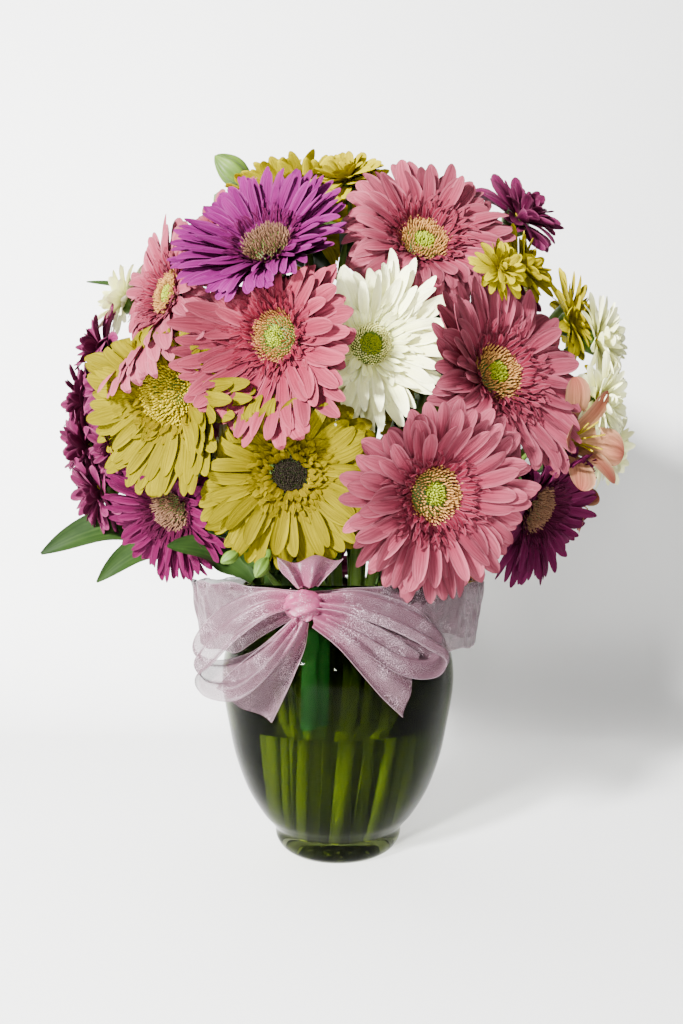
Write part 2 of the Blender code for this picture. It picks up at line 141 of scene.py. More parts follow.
def blades(line, side, up, half, arch, groove, thick, marks, across=4):
    """Closed blades round the middle lines. A point is the middle line, plus its share c of the
    half width along side, plus along up a hump of arch x (1 - c squared) and two grooves that
    follow the cosine of 2 pi c. The under face lies lower by thick, less towards the border."""
    count, stations = half.shape
    c = np.linspace(-1, 1, across + 1)
    s = stations_along(stations)
    hump = half[..., None] * arch[:, None, None] * (1 - c**2)
    ripple = groove * np.cos(2 * np.pi * c) * np.sin(np.pi * s**0.8)[None, :, None]
    top = line[:, :, None] + side[:, :, None] * (half[..., None] * c)[..., None]
    top = top + up[:, :, None] * (hump + ripple)[..., None]
    under = top - up[:, :, None] * (thick * (1 - c**2))[:, None]
    inner = under[:, 1:-1, 1:-1].reshape(count, -1, 3)
    points = np.concatenate([top.reshape(count, -1, 3), inner], axis=1)
    flat = np.stack(np.meshgrid((c + 1) / 2, s), -1)
    uv = np.concatenate([flat.reshape(-1, 2), flat[1:-1, 1:-1].reshape(-1, 2)])
    tint = np.empty((count, len(uv), 4))
    tint[..., 0] = uv[:, 1]
    tint[..., 1] = marks[:, 0, None]
    tint[..., 2] = marks[:, 1, None]
    tint[..., 3] = np.abs(uv[:, 0] * 2 - 1)
    faces, size = blade_faces(stations - 1, across)
    corners = (faces[None] + size * np.arange(count)[:, None, None]).reshape(-1, 4)
    return points.reshape(-1, 3), [corners], np.tile(uv, (count, 1)), tint.reshape(-1, 4)


print("a petal of 9 stations has", len(blade_faces(8, 4)[0]), "faces")

# %% [markdown]
# ## Rings of petals
#
# Petals stand in rings, and each ring is one array. A ring is described by a few numbers, all
# shares of the head's radius or slopes in degrees, and every petal in it differs a little by
# chance. Modelling one petal and copying it would be simpler, but the copies would show.


# %% Rings of petals
BASE_WIDTH, TIP_POWER, LEAST_WIDTH = 0.55, 0.55, 0.07
RAY_STATIONS = 9


def ring(count, base, length, half, height, lean, tip_lean, tone, **more):
    """A ring of petals: how many, where they start, their length and half width, how high
    they start, their slope at the base and at the tip, and their tone from 0 to 1."""
    usual = {"shift": 0.0, "scatter": 0.25, "wild": 1.0, "point": 2.2, "peak": 0.6,
             "thick": 0.01, "stations": RAY_STATIONS, "across": 4, "sectors": ()}
    return {**usual, "count": count, "base": base, "length": length, "half": half,
            "height": height, "lean": lean, "tip_lean": tip_lean, "tone": tone, **more}


def spread(count, middle, jitter):
    """count values round a middle one, evenly random within the jitter."""
    return middle + rng.uniform(-1, 1, count) * jitter


def petal_lines(azimuth, base, height, length, lean, tip_lean, bend, twist, stations):
    """Middle lines of petals that start on a ring and curve in their own upright planes.
    The slope turns from lean to tip_lean along the petal, and the line is its running sum.
    Radius and height therefore grow by the cosine and the sine of the slope."""
    s = stations_along(stations)
    slope = lean[:, None] + (tip_lean - lean)[:, None] * s**1.3
    step = np.diff(s, prepend=0) * length[:, None]
    middle = (slope + np.roll(slope, 1, axis=1)) / 2
    radius = base[:, None] + np.cumsum(np.cos(middle) * step, axis=1)
    rise = height + np.cumsum(np.sin(middle) * step, axis=1)
    turn = azimuth[:, None] + bend[:, None] * s**2
    ray, side = around(turn), around(turn + np.pi / 2)
    line = ray * radius[..., None] + UP * rise[..., None]
    up = UP * np.cos(slope)[..., None] - ray * np.sin(slope)[..., None]
    roll = (twist[:, None] * s)[..., None]
    return line, side * np.cos(roll) + up * np.sin(roll), up * np.cos(roll) - side * np.sin(roll)


def petal_width(half, peak, point, stations):
    """Half widths: narrow at the base, full from the peak on, rounded off at the tip. The
    smaller the power called point, the sharper the tip."""
    s = stations_along(stations)
    grow = np.clip(s / peak, 0, 1)
    body = BASE_WIDTH + (1 - BASE_WIDTH) * grow * grow * (3 - 2 * grow)
    fall = np.clip((s - peak) / (1 - peak), 0, 1)
    tip = np.maximum(1 - fall**point, 0) ** TIP_POWER
    return half[:, None] * np.maximum(body * tip, LEAST_WIDTH)


def petal_row(radius, row):
    """The petals of one ring on a head of this radius. A sector (middle, width, more, longer)
    adds to the slopes, in degrees, and to the length of the petals round one azimuth."""
    count, wild, stations = row["count"], row["wild"], row["stations"]
    pitch = 2 * np.pi / count
    azimuth = (np.arange(count) + row["shift"]) * pitch
    azimuth = azimuth + rng.uniform(-1, 1, count) * row["scatter"] * pitch
    base = spread(count, row["base"], 0.02 * wild) * radius
    length = spread(count, row["length"], 0.07 * row["length"] * wild) * radius
    lean = np.radians(spread(count, row["lean"], 6 * wild))
    tip_lean = np.radians(spread(count, row["tip_lean"], 14 * wild))
    for middle, width, more, longer in row["sectors"]:
        away = (np.degrees(azimuth) - middle + 180) % 360 - 180
        weight = np.exp(-((away / width) ** 2))
        lean = lean + np.radians(more * 0.55) * weight
        tip_lean = tip_lean + np.radians(more) * weight
        length = length * (1 + longer * weight)
    half = spread(count, row["half"], 0.12 * row["half"] * wild) * radius
    bend = rng.uniform(-0.12, 0.12, count) * wild
    twist = rng.uniform(-0.5, 0.5, count) * wild
    line, side, up = petal_lines(azimuth, base, row["height"] * radius, length, lean, tip_lean,
                                 bend, twist, stations)
    width = petal_width(half, row["peak"], row["point"], stations)
    arch = spread(count, 0.0, 0.16 * wild)
    marks = np.stack([rng.random(count), np.full(count, row["tone"])], -1)
    return blades(line, side, up, width, arch, 0.01 * radius, row["thick"] * radius, marks,
                  row["across"])


# %% [markdown]
# ## Turned forms, smooth lines and tubes
#
# Cups, the urn, the water, stems and the ribbon's knot are all rings of points closed at both
# ends, so one function makes their faces and turns them outwards. Stems, twigs and ribbons
# follow a Catmull-Rom curve, which passes through every point given, or a Bezier, which leaves
# and arrives in a given direction.


# %% Turned forms, lines and tubes
UV_LENGTH = 0.05  # metres of a tube for one turn of its UV map


def volume(points, faces):
    """Six times the signed volume of a closed mesh: the sum of its corner triangles' boxes."""
    total = 0.0
    for face in faces:
        for k in range(1, face.shape[1] - 1):
            a, b, c = points[face[:, 0]], points[face[:, k]], points[face[:, k + 1]]
            total += np.einsum("ij,ij->", a, np.cross(b, c))
    return total


def ring_faces(points, rings, first, last):
    """Quads between closed rings of point numbers and a fan to the point at each end, all
    facing outwards."""
    turned = np.roll(rings, -1, axis=1)
    quads = np.stack([rings[:-1], turned[:-1], turned[1:], rings[1:]], -1).reshape(-1, 4)
    start = np.stack([np.full_like(rings[0], first), turned[0], rings[0]], -1)
    end = np.stack([np.full_like(rings[0], last), rings[-1], turned[-1]], -1)
    faces = [quads, start, end]
    if volume(points, faces) < 0:
        faces = [face[:, ::-1] for face in faces]
    return faces


def lathe(profile, steps, lobes=0, lobe_depth=0.0):
    """Surface of revolution of (radius, height) points that starts and ends on the axis. Point
    j of ring i is the radius times the cosine and sine of j turns / steps. Lobes flute it."""
    profile = np.asarray(profile, float)
    turn = np.arange(steps) * 2 * np.pi / steps
    flute = (1 + lobe_depth * np.cos(lobes * turn))[:, None]
    inside = profile[1:-1, None]
    body = around(turn) * flute * inside[..., :1] + UP * inside[..., 1:]
    points = np.concatenate([UP[None] * profile[0, 1], body.reshape(-1, 3),
                             UP[None] * profile[-1, 1]])
    rings = 1 + np.arange(len(inside) * steps).reshape(len(inside), steps)
    v = np.linspace(0, 1, len(profile))
    u = np.tile(np.arange(steps) / steps, len(inside))
    uv = np.concatenate([[[0, 0]], np.stack([u, np.repeat(v[1:-1], steps)], -1), [[0, 1]]])
    tint = np.zeros((len(points), 4))
    tint[:, 0] = uv[:, 1]
    tint[:, 1] = 0.5
    return points, ring_faces(points, rings, 0, len(points) - 1), uv, tint


def smooth_curve(knots, count):
    """Catmull-Rom curve through the knots: between knots b and c, with u from 0 to 1, it is
    half of 2b + (c-a)u + (2a-5b+4c-d)u^2 + (3b-a-3c+d)u^3."""
    knots = np.asarray(knots, float)
    spots = np.concatenate([2 * knots[:1] - knots[1:2], knots, 2 * knots[-1:] - knots[-2:-1]])
    t = np.linspace(0, len(knots) - 1, count)
    k = np.minimum(t.astype(int), len(knots) - 2)
    u = (t - k)[:, None]
    a, b, c, d = spots[k], spots[k + 1], spots[k + 2], spots[k + 3]
    bend = (2 * a - 5 * b + 4 * c - d) * u**2 + (3 * b - a - 3 * c + d) * u**3
    return 0.5 * (2 * b + (c - a) * u + bend)


def bezier(a, b, c, d, count):
    """Cubic Bezier a(1-t)^3 + 3bt(1-t)^2 + 3ct^2(1-t) + dt^3."""
    t = np.linspace(0, 1, count)[:, None]
    return a * (1 - t) ** 3 + 3 * b * t * (1 - t) ** 2 + 3 * c * t**2 * (1 - t) + d * t**3


def tube(line, radius, sides=12, random=0.5):
    """Round tube: each ring lies square to the line, turned from a steady reference direction,
    and each end is closed by a point on the line."""
    line = np.asarray(line, float)
    radius = np.broadcast_to(radius, len(line))
    along = unit(np.gradient(line, axis=0))
    out = unit(np.cross(along, (0.31, 0.95, 0.05)))
    other = np.cross(along, out)
    turn = np.arange(sides) * 2 * np.pi / sides
    circle = out[:, None] * np.cos(turn)[:, None] + other[:, None] * np.sin(turn)[:, None]
    body = line[:, None] + circle * radius[:, None, None]
    tips = [line[0] - along[0] * radius[0] * 0.3, line[-1] + along[-1] * radius[-1] * 0.3]
    points = np.concatenate([body.reshape(-1, 3), tips])
    rings = np.arange(len(line) * sides).reshape(-1, sides)
    faces = ring_faces(points, rings, len(points) - 2, len(points) - 1)
    length = np.concatenate([[0], np.cumsum(np.linalg.norm(np.diff(line, axis=0), axis=1))])
    v = length / UV_LENGTH
    uv = np.stack([np.tile(np.arange(sides) / sides, len(line)), np.repeat(v, sides)], -1)
    uv = np.concatenate([uv, [[0, 0], [0, v[-1]]]])
    tint = np.zeros((len(points), 4))
    tint[:, 1] = random
    return points, faces, uv, tint


# %% [markdown]
# ## Where each gerbera is
#
# The solid model holds a cup for each head and a tube for its stem, and the cup sits on the end
# of the tube. The ring of points at the back of the cup gives the head's axis and its size, so
# the flower made here faces exactly where the solid one does.

# %% Read the heads from the solids
CALYX_SHARE, CALYX_RADIUS, RING_SIDES, TUBE_SIDES = 0.36, 0.14, 18, 6


def cad_points(node):
    """The points of a solid, each once."""
    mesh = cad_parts[node].data
    flat = np.empty(len(mesh.vertices) * 3)
    mesh.vertices.foreach_get("co", flat)
    return np.unique(np.round(flat.reshape(-1, 3), 6), axis=0)


def nearest(points, spot, count):
    return points[np.argsort(np.linalg.norm(points - spot, axis=1))[:count]]


def head_axes(normal):
    """Right, up and facing of a head, as the rows of a matrix."""
    right = unit(np.cross([0, 0, 1], normal))
    return np.stack([right, np.cross(normal, right), normal])


def read_head(name):
    """Place, axes and radius of a gerbera: its back ring, and the plane through that ring."""
    solid = cad_points(f"gerbera_{name}")
    tip = nearest(cad_points(f"stem_{name}"), solid.mean(0), TUBE_SIDES).mean(0)
    ring = nearest(solid, tip, RING_SIDES)
    centre = ring.mean(0)
    normal = np.linalg.svd(ring - centre)[2][2]
    normal = normal * np.sign(normal @ (solid.mean(0) - centre))
    radius = np.linalg.norm(ring - centre, axis=1).mean() / CALYX_RADIUS
    return {"place": centre + normal * CALYX_SHARE * radius, "axes": head_axes(normal),
            "radius": radius}


names = [node[8:] for node in sorted(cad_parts) if node.startswith("gerbera_")]
heads = {name: read_head(name) for name in names}
for name, head in heads.items():
    print(f"{name:20} at {np.round(head['place'] * 1000)} radius {head['radius'] * 1000:.0f} mm")


# %% [markdown]
# ## Petals that press on their neighbours
#
# In a tight bouquet the heads are closer than their petals are long. The petals of a head that
# stands proud slide over the next head, and that head's petals slip under. A simulation could
# find that, but two simple rules do too. Past the plane between two heads a petal is held back
# more and more, and it rides above the disc of a lower neighbour or ducks below a higher one.

# %% Crowding
OVER, UNDER, SOFT = 0.25, 5 * MM, 6 * MM
APPROACH, ABOVE, BELOW = 16 * MM, 18 * MM, 8 * MM


def settle(points, name, ranks):
    """Hold petals back near each neighbour: with x the distance past the plane, x becomes
    SOFT x (1 - exp(-x / SOFT)). Then move them along the neighbour's axis until they clear
    its disc, by a share that grows from 0 to 1 across the plane."""
    head = heads[name]
    for other, near in heads.items():
        way = near["place"] - head["place"]
        gap = np.linalg.norm(way)
        if other == name or gap > head["radius"] + near["radius"] + 4 * MM:
            continue
        on_top = ranks[name] > ranks[other]
        share = gap * head["radius"] / (head["radius"] + near["radius"])
        way = way / gap
        beyond = (points - head["place"]) @ way - share
        past = beyond - (OVER * gap - SOFT if on_top else UNDER)
        held = np.where(past > 0, SOFT * (1 - np.exp(-np.maximum(past, 0) / SOFT)), past)
        points = points - way * (past - held)[..., None]
        height = (points - near["place"]) @ near["axes"][2]
        push = np.maximum(ABOVE - height, 0) if on_top else -np.maximum(height + BELOW, 0)
        close = np.clip((beyond + APPROACH) / (2 * APPROACH), 0, 1)
        close = close * close * (3 - 2 * close)
        points = points + near["axes"][2] * (close * push)[..., None]
    return points


# %% [markdown]
# ## Materials: one helper, and two effects that petals, leaves and stems share
#
# A material is a graph of nodes. The helper adds a node, sets it up and wires its inputs in one
# line. Two effects are used again and again, so each is a node group: streaks that run the
# length of a petal or stem, and soft mottling in space.


# %% Node helpers
def wire(tree, node, inputs):
    """Give each input of a node its value, or link it to the socket given instead."""
    for key, value in inputs.items():
        if isinstance(value, bpy.types.NodeSocket):
            tree.links.new(value, node.inputs[key])
        else:
            node.inputs[key].default_value = value
    return node


def add(tree, kind, inputs=None, **settings):
    """One node: settings are its properties, inputs map a socket to a value or to a socket."""
    node = tree.nodes.new(kind)
    for key, value in settings.items():
        setattr(node, key, value)
    return wire(tree, node, inputs or {})


def ramp(tree, value, stops):
    """Colour ramp with (position, colour) stops."""
    node = add(tree, "ShaderNodeValToRGB", {"Fac": value})
    band = node.color_ramp
    while len(band.elements) < len(stops):
        band.elements.new(0.5)
    for element, (position, colour) in zip(band.elements, stops):
        element.position = position
        element.color = (*colour, 1)
    return node.outputs["Color"]


def mix(tree, share, one, other, blend="MIX"):
    """Two colours mixed by a share. Each is a socket or three numbers."""
    colours = [value if isinstance(value, bpy.types.NodeSocket) else (*value, 1)
               for value in (one, other)]
    sockets = {0: share, 6: colours[0], 7: colours[1]}
    return add(tree, "ShaderNodeMix", sockets, data_type="RGBA", blend_type=blend).outputs[2]


def math(tree, operation, one, other=0.0, clamp=False):
    sockets = {0: one, 1: other}
    return add(tree, "ShaderNodeMath", sockets, operation=operation, use_clamp=clamp).outputs[0]


def remap(tree, value, given=(0.0, 1.0), made=(0.0, 1.0)):
    """The given range stretched to the made one, and held inside it."""
    ends = {"From Min": given[0], "From Max": given[1], "To Min": made[0], "To Max": made[1]}
    return add(tree, "ShaderNodeMapRange", {"Value": value, **ends}).outputs[0]


def bump(tree, height, strength, distance):
    sockets = {"Height": height, "Strength": strength, "Distance": distance}
    return add(tree, "ShaderNodeBump", sockets).outputs[0]


def vector_math(tree, operation, one, other):
    sockets = {0: one, 1: other}
    return add(tree, "ShaderNodeVectorMath", sockets, operation=operation).outputs[0]


def own_place(tree):
    """The piece's own coordinates, in metres."""
    return add(tree, "ShaderNodeTexCoord").outputs["Object"]


def part_of(tree, vector, axis):
    return add(tree, "ShaderNodeSeparateXYZ", {"Vector": vector}).outputs[axis]


def read_tint(tree):
    """The four numbers that each point carries."""
    tint = add(tree, "ShaderNodeAttribute", attribute_name="tint")
    split = add(tree, "ShaderNodeSeparateColor", {"Color": tint.outputs["Color"]})
    return [*split.outputs, tint.outputs["Alpha"]]


def new_material(name):
    """An empty material with a Principled shader: (material, its tree, its shader)."""
    material = bpy.data.materials.new(name)
    material.use_nodes = True
    return material, material.node_tree, material.node_tree.nodes["Principled BSDF"]


# %% [markdown]
# ### Shared effects
#
# Two patterns serve most materials, so each is a node group: streaks that run from base to
# tip of a petal or stem, and soft mottling in space.


# %% Shared effects
def new_group(name, inputs, outputs):
    group = bpy.data.node_groups.new(name, "ShaderNodeTree")
    for title, kind, value in inputs:
        socket = group.interface.new_socket(title, in_out="INPUT", socket_type=kind)
        if value is not None:
            socket.default_value = value
    for title, kind in outputs:
        group.interface.new_socket(title, in_out="OUTPUT", socket_type=kind)
    return group, group.nodes.new("NodeGroupInput"), group.nodes.new("NodeGroupOutput")


def streak_group():
    """Noise stretched along V, so that it draws fine lines from base to tip. A random number
    per petal slides it, and no two petals carry the same lines."""
    group, given, out = new_group(
        "streaks",
        [("Vector", "NodeSocketVector", None), ("Random", "NodeSocketFloat", 0.5),
         ("Lines", "NodeSocketFloat", 12.0)],
        [("Streak", "NodeSocketFloat")],
    )
    random = given.outputs["Random"]
    slide = add(group, "ShaderNodeCombineXYZ", {"X": random, "Y": random}).outputs[0]
    slide = vector_math(group, "MULTIPLY", slide, (37.0, 11.0, 0.0))
    stretch = add(group, "ShaderNodeCombineXYZ", {"X": given.outputs["Lines"], "Y": 1.2})
    scaled = vector_math(group, "MULTIPLY", given.outputs["Vector"], stretch.outputs[0])
    moved = vector_math(group, "ADD", scaled, slide)
    noise = add(group, "ShaderNodeTexNoise", {"Vector": moved, "Scale": 1.0,
                                              "Detail": 3.0, "Roughness": 0.6})
    wire(group, out, {"Streak": noise.outputs["Fac"]})
    return group


def mottle_group():
    """Soft patches in space, from the piece's own coordinates in metres."""
    group, given, out = new_group(
        "mottle", [("Scale", "NodeSocketFloat", 60.0)], [("Patch", "NodeSocketFloat")]
    )
    noise = add(group, "ShaderNodeTexNoise", {"Vector": own_place(group),
                                              "Scale": given.outputs["Scale"],
                                              "Detail": 4.0, "Roughness": 0.55})
    wire(group, out, {"Patch": noise.outputs["Fac"]})
    return group


STREAKS, MOTTLE = streak_group(), mottle_group()


def streaks(tree, vector, random, lines):
    sockets = {"Vector": vector, "Random": random, "Lines": lines}
    return add(tree, "ShaderNodeGroup", sockets, node_tree=STREAKS).outputs["Streak"]


def mottle(tree, scale):
    return add(tree, "ShaderNodeGroup", {"Scale": scale}, node_tree=MOTTLE).outputs["Patch"]


print(len(bpy.data.node_groups), "shared effects")

# %% [markdown]
# ## Petals, green tissue and mealy eyes
#
# Three kinds of surface cover every plant here. A petal is coloured along its length and is
# lighter at its edge, which a single colour or a picture could not give to thousands of petals
# with small differences. Green tissue is streaked and satin. The eye of a flower is made of
# cells in two colours.


# %% Plant materials
def petal_material(name, base, body, tip, inner, edge_colour, vein=0.45):
    """Colour runs from base to tip, turns to the inner colour on the short inner florets, is
    lighter at the petal's edge and darker in its veins, and differs a little per petal."""
    material, tree, shader = new_material(name)
    along, random, tone, side = read_tint(tree)
    lines = streaks(tree, add(tree, "ShaderNodeUVMap").outputs[0], random, 9.0)
    outer = ramp(tree, along, [(0.0, base), (0.45, body), (1.0, tip)])
    colour = mix(tree, tone, outer, inner)
    light = math(tree, "MULTIPLY", math(tree, "POWER", side, 3.0), 0.5)
    colour = mix(tree, light, colour, edge_colour)
    value = math(tree, "MULTIPLY", remap(tree, lines, (0.35, 0.65), (1.0 - vein, 1.0)),
                 remap(tree, random, made=(0.86, 1.06)))
    value = math(tree, "MULTIPLY", value,
                 remap(tree, mottle(tree, 90.0), (0.3, 0.7), (0.92, 1.04)))
    grey = add(tree, "ShaderNodeCombineColor", {0: value, 1: value, 2: value}).outputs[0]
    wire(tree, shader, {
        "Base Color": mix(tree, 1.0, colour, grey, "MULTIPLY"),
        "Roughness": remap(tree, lines, made=(0.47, 0.67)),
        "Normal": bump(tree, lines, 0.6, 0.0008),
        "Specular IOR Level": 0.02,
    })
    return material


def plant_material(name, dark, light, lines=8.0, foot=None):
    """Green tissue: streaks from base to tip, patches in space, a satin skin. From 115 mm down to
    65 mm, round the waterline, stems lighten to the foot colour: painted light, for the lamps' light
    that reaches them through the glass and water."""
    material, tree, shader = new_material(name)
    veins = streaks(tree, add(tree, "ShaderNodeUVMap").outputs[0], read_tint(tree)[1], lines)
    share = math(tree, "MULTIPLY", math(tree, "ADD", veins, mottle(tree, 45.0)), 0.5)
    share = remap(tree, share, (0.35, 0.65))
    colour = mix(tree, share, dark, light)
    if foot:
        # Painted light: low on the stems the colour turns to the light foot colour, as if lit
        # through the glass.
        lit_in_water = remap(tree, part_of(tree, own_place(tree), "Z"), (0.115, 0.065))
        pale = mix(tree, share, tuple(0.55 * value for value in foot), foot)
        colour = mix(tree, lit_in_water, colour, pale)
    wire(tree, shader, {
        "Base Color": colour,
        "Roughness": remap(tree, veins, made=(0.35, 0.6)),
        "Normal": bump(tree, veins, 0.3, 0.0005),
        "Specular IOR Level": 0.15,
    })
    return material


def grain_material(name, dark, light, scale):
    """Mealy surface of disc florets and pollen: small cells in two colours, with a bump."""
    material, tree, shader = new_material(name)
    cells = add(tree, "ShaderNodeTexVoronoi", {"Vector": own_place(tree), "Scale": scale})
    cells = cells.outputs["Distance"]
    share = math(tree, "MULTIPLY", cells, 1.4, clamp=True)
    share = math(tree, "ADD", math(tree, "MULTIPLY", share, 0.45),
                 math(tree, "MULTIPLY", read_tint(tree)[0], 0.6), clamp=True)
    wire(tree, shader, {
        "Base Color": mix(tree, share, dark, light),
        "Roughness": remap(tree, share, made=(0.6, 0.8)),
        "Normal": bump(tree, cells, 0.5, 0.0005),
        "Specular IOR Level": 0.12,
    })
    return material


# %% [markdown]
# ### Colours
#
# Each petal colour is five colours: at the base, on the body, at the tip, on the inner florets
# and at the edge. They are darker than the petals look, because the studio light is strong.

# %% Petal colours
PETALS = {
    "pink": petal_material("pink petal", (0.11, 0.008, 0.02), (0.195, 0.027, 0.048),
                           (0.275, 0.058, 0.086), (0.12, 0.008, 0.02), (0.33, 0.1, 0.132)),
    "rose": petal_material("rose petal", (0.10, 0.006, 0.017), (0.17, 0.018, 0.036),
                           (0.235, 0.038, 0.06), (0.13, 0.007, 0.018), (0.29, 0.07, 0.095)),
    "yellow": petal_material("yellow petal", (0.105, 0.068, 0.0), (0.135, 0.108, 0.0),
                             (0.15, 0.122, 0.0), (0.11, 0.076, 0.0), (0.165, 0.135, 0.0), vein=0.45),
    "lemon": petal_material("lemon petal", (0.24, 0.17, 0.0), (0.33, 0.265, 0.0),
                            (0.37, 0.305, 0.0), (0.27, 0.20, 0.0), (0.40, 0.33, 0.0), vein=0.35),
    "magenta": petal_material("magenta petal", (0.055, 0.002, 0.028), (0.095, 0.004, 0.058),
                              (0.135, 0.009, 0.09), (0.05, 0.002, 0.020), (0.19, 0.03, 0.135)),
    "white": petal_material("white petal", (0.55, 0.58, 0.16), (0.93, 0.93, 0.46),
                            (0.96, 0.96, 0.62), (0.80, 0.82, 0.30), (0.97, 0.97, 0.72), vein=0.12),
    "purple": petal_material("purple petal", (0.05, 0.003, 0.018), (0.085, 0.006, 0.034),
                             (0.14, 0.018, 0.065), (0.045, 0.003, 0.016), (0.24, 0.06, 0.12)),
    # This darker copy of the magenta is painted shade, for the magenta heads that sit low in the
    # bouquet.
    "shaded_magenta": petal_material("plum petal", (0.035, 0.0015, 0.012), (0.066, 0.003, 0.026),
                           (0.090, 0.005, 0.038), (0.03, 0.0015, 0.010), (0.13, 0.02, 0.065)),
    "cream": petal_material("cream petal", (0.50, 0.36, 0.10), (0.46, 0.22, 0.11),
                            (0.34, 0.085, 0.06), (0.12, 0.015, 0.015), (0.50, 0.34, 0.18)),
}
# The stems' bright foot colour is painted light on the parts in and just above the water.
GREEN = plant_material("stem skin", (0.035, 0.07, 0.008), (0.09, 0.15, 0.02),
                       foot=(0.60, 0.70, 0.03))
LEAF = plant_material("leaf skin", (0.006, 0.017, 0.003), (0.020, 0.042, 0.007), lines=14.0)
LIME = grain_material("lime florets", (0.12, 0.155, 0.003), (0.27, 0.31, 0.01), 700.0)
POLLEN = grain_material("pollen", (0.14, 0.03, 0.008), (0.40, 0.20, 0.05), 900.0)
GOLD = grain_material("golden florets", (0.20, 0.13, 0.0), (0.36, 0.28, 0.005), 900.0)
PALE = grain_material("pale florets", (0.22, 0.20, 0.02), (0.85, 0.84, 0.30), 900.0)
DARK_EYE = grain_material("dark florets", (0.003, 0.002, 0.001), (0.012, 0.008, 0.004), 900.0)
GREY_EYE = grain_material("ripe florets", (0.015, 0.005, 0.008), (0.17, 0.085, 0.045), 900.0)
print(len(bpy.data.materials), "materials so far")

# %% [markdown]
# ## The gerberas
#
# A gerbera is hundreds of flowers in one head. Long ray florets make the two or three outer
# rings, short ones fill the next rings, and tiny tubular florets make the eye, set out by the
# golden angle as in a sunflower. A calyx of narrow bracts holds it all from behind.

# %% Eye florets and calyx
GOLDEN_ANGLE = np.pi * (3 - 5**0.5)
BUD = np.array(((0.0, 0.5), (0.55, 1.0), (0.85, 0.8), (1.0, 0.25)))


def eye_florets(count, inner, outer, dome, tall, thick, lean, radius):
    """Small four-sided buds by the golden angle: floret k stands at k golden angles, at a
    radius that grows with the square root of k. dome is the eye's height at its middle."""
    k = np.arange(count)
    r = np.sqrt(inner**2 + (outer**2 - inner**2) * (k + 0.5) / count) * radius
    turn = k * GOLDEN_ANGLE
    ray, out = around(turn), around(turn + np.pi / 2)
    tilt = np.radians(lean) * r / (outer * radius) + rng.uniform(-0.2, 0.2, count)
    axis = ray * np.sin(tilt)[:, None] + UP * np.cos(tilt)[:, None]
    across = np.cross(axis, out)
    floor = dome * radius * (1 - (r / (outer * radius)) ** 2)
    root = ray * r[:, None] + UP * (floor - 0.3 * tall * radius)[:, None]
    size = spread(count, tall * radius, 0.25 * tall * radius)
    wide = spread(count, thick * radius, 0.2 * thick * radius)
    heights, widths = BUD.T
    quarter = np.arange(4)[:, None] * np.pi / 2
    circle = out[:, None] * np.cos(quarter) + across[:, None] * np.sin(quarter)
    points = root[:, None, None] + axis[:, None, None] * (size[:, None] * heights)[:, :, None, None]
    points = points + circle[:, None] * (wide[:, None] * widths)[:, :, None, None]
    rings = np.arange(16).reshape(4, 4)
    turned = np.roll(rings, -1, axis=1)
    quads = np.stack([rings[:-1], rings[1:], turned[1:], turned[:-1]], -1).reshape(-1, 4)
    quads = np.concatenate([quads, [[0, 1, 2, 3], [15, 14, 13, 12]]])
    corners = (quads[None] + 16 * k[:, None, None]).reshape(-1, 4)
    tint = np.zeros((count, 4, 4, 4))
    tint[..., 0] = heights[None, :, None]
    tint[..., 1] = rng.random(count)[:, None, None]
    return points.reshape(-1, 3), [corners], np.zeros((count * 16, 2)), tint.reshape(-1, 4)


def in_place(part, head):
    """The part moved from the head's own axes into the bouquet."""
    return part[0] @ head["axes"] + head["place"], *part[1:]


CUP = np.array(((0, -0.385), (0.055, -0.385), (0.085, -0.35), (0.16, -0.27), (0.235, -0.14),
                (0.25, -0.05), (0.23, 0.0), (0.0, 0.0)))
BRACT = {"stations": 5, "across": 2, "point": 1.3}
BRACTS = (ring(20, 0.10, 0.30, 0.035, -0.34, 50, 70, 0, **BRACT),
          ring(18, 0.15, 0.26, 0.038, -0.26, 52, 40, 0, shift=0.5, **BRACT))


def calyx(radius):
    return joined([lathe(CUP * radius, 24)] + [petal_row(radius, row) for row in BRACTS])


# %% [markdown]
# ### Recipes
#
# A recipe says how many petals each ring has, where it starts, how long and how wide it is, and
# how its slope turns from base to tip. The tone runs from 0 on the outer petals to 1 on the
# inner florets. A sector lifts or drops the petals of one side, because no grown flower is
# quite even. The rank says which of two neighbouring heads lies on top.


# %% Recipes of the rings
def rays(count, half, lean=14, tip_lean=2, point=2.9, wild=1.0):
    """The rings of ray florets, from the back one to the front one, and a bed of broad scales
    under the eye."""
    look = {"point": point, "wild": wild}
    return [
        ring(count, 0.3, 0.76, half, -0.03, lean, tip_lean - 4, 0.0, **look),
        ring(count, 0.3, 0.722, half, 0.0, lean + 7, tip_lean, 0.06, shift=0.5, **look),
        ring(count * 2 // 3, 0.28, 0.608, half * 0.9, 0.03, lean + 13, tip_lean + 4, 0.14,
             shift=0.25, **look),
        ring(14, 0.04, 0.38, 0.11, -0.035, 0, 0, 1.0, wild=0.1, point=6.0, stations=6, across=2),
    ]


def inner_florets(rings, count, start, end, length, half, lean=48, tone=(0.5, 1.0)):
    """Rings of short florets between the eye and the rays, steeper towards the eye."""
    look = {"stations": 6, "across": 2, "wild": 1.6, "scatter": 0.6, "point": 1.6}
    return [
        ring(count, end + (start - end) * t, length * (1 - 0.4 * t), half, 0.03 + 0.02 * t,
             lean + 18 * t, 5 + 25 * t, tone[0] + (tone[1] - tone[0]) * t, shift=0.5 * k, **look)
        for k, t in enumerate(np.linspace(0, 1, rings))
    ]


def recipe(colour, rank, rows, eye, sectors=()):
    """eye lists (material, count, inner, outer, dome, tall, thick, lean) of its florets. The
    sectors shape the ray florets only."""
    for row in rows:
        if row["stations"] == RAY_STATIONS:
            row["sectors"] = sectors
    return {"colour": colour, "rank": rank, "rows": rows, "eye": eye}

PINK_EYE = ((LIME, 70, 0.0, 0.115, 0.035, 0.05, 0.013, 10),
            (POLLEN, 330, 0.125, 0.33, 0.035, 0.07, 0.0105, 22))


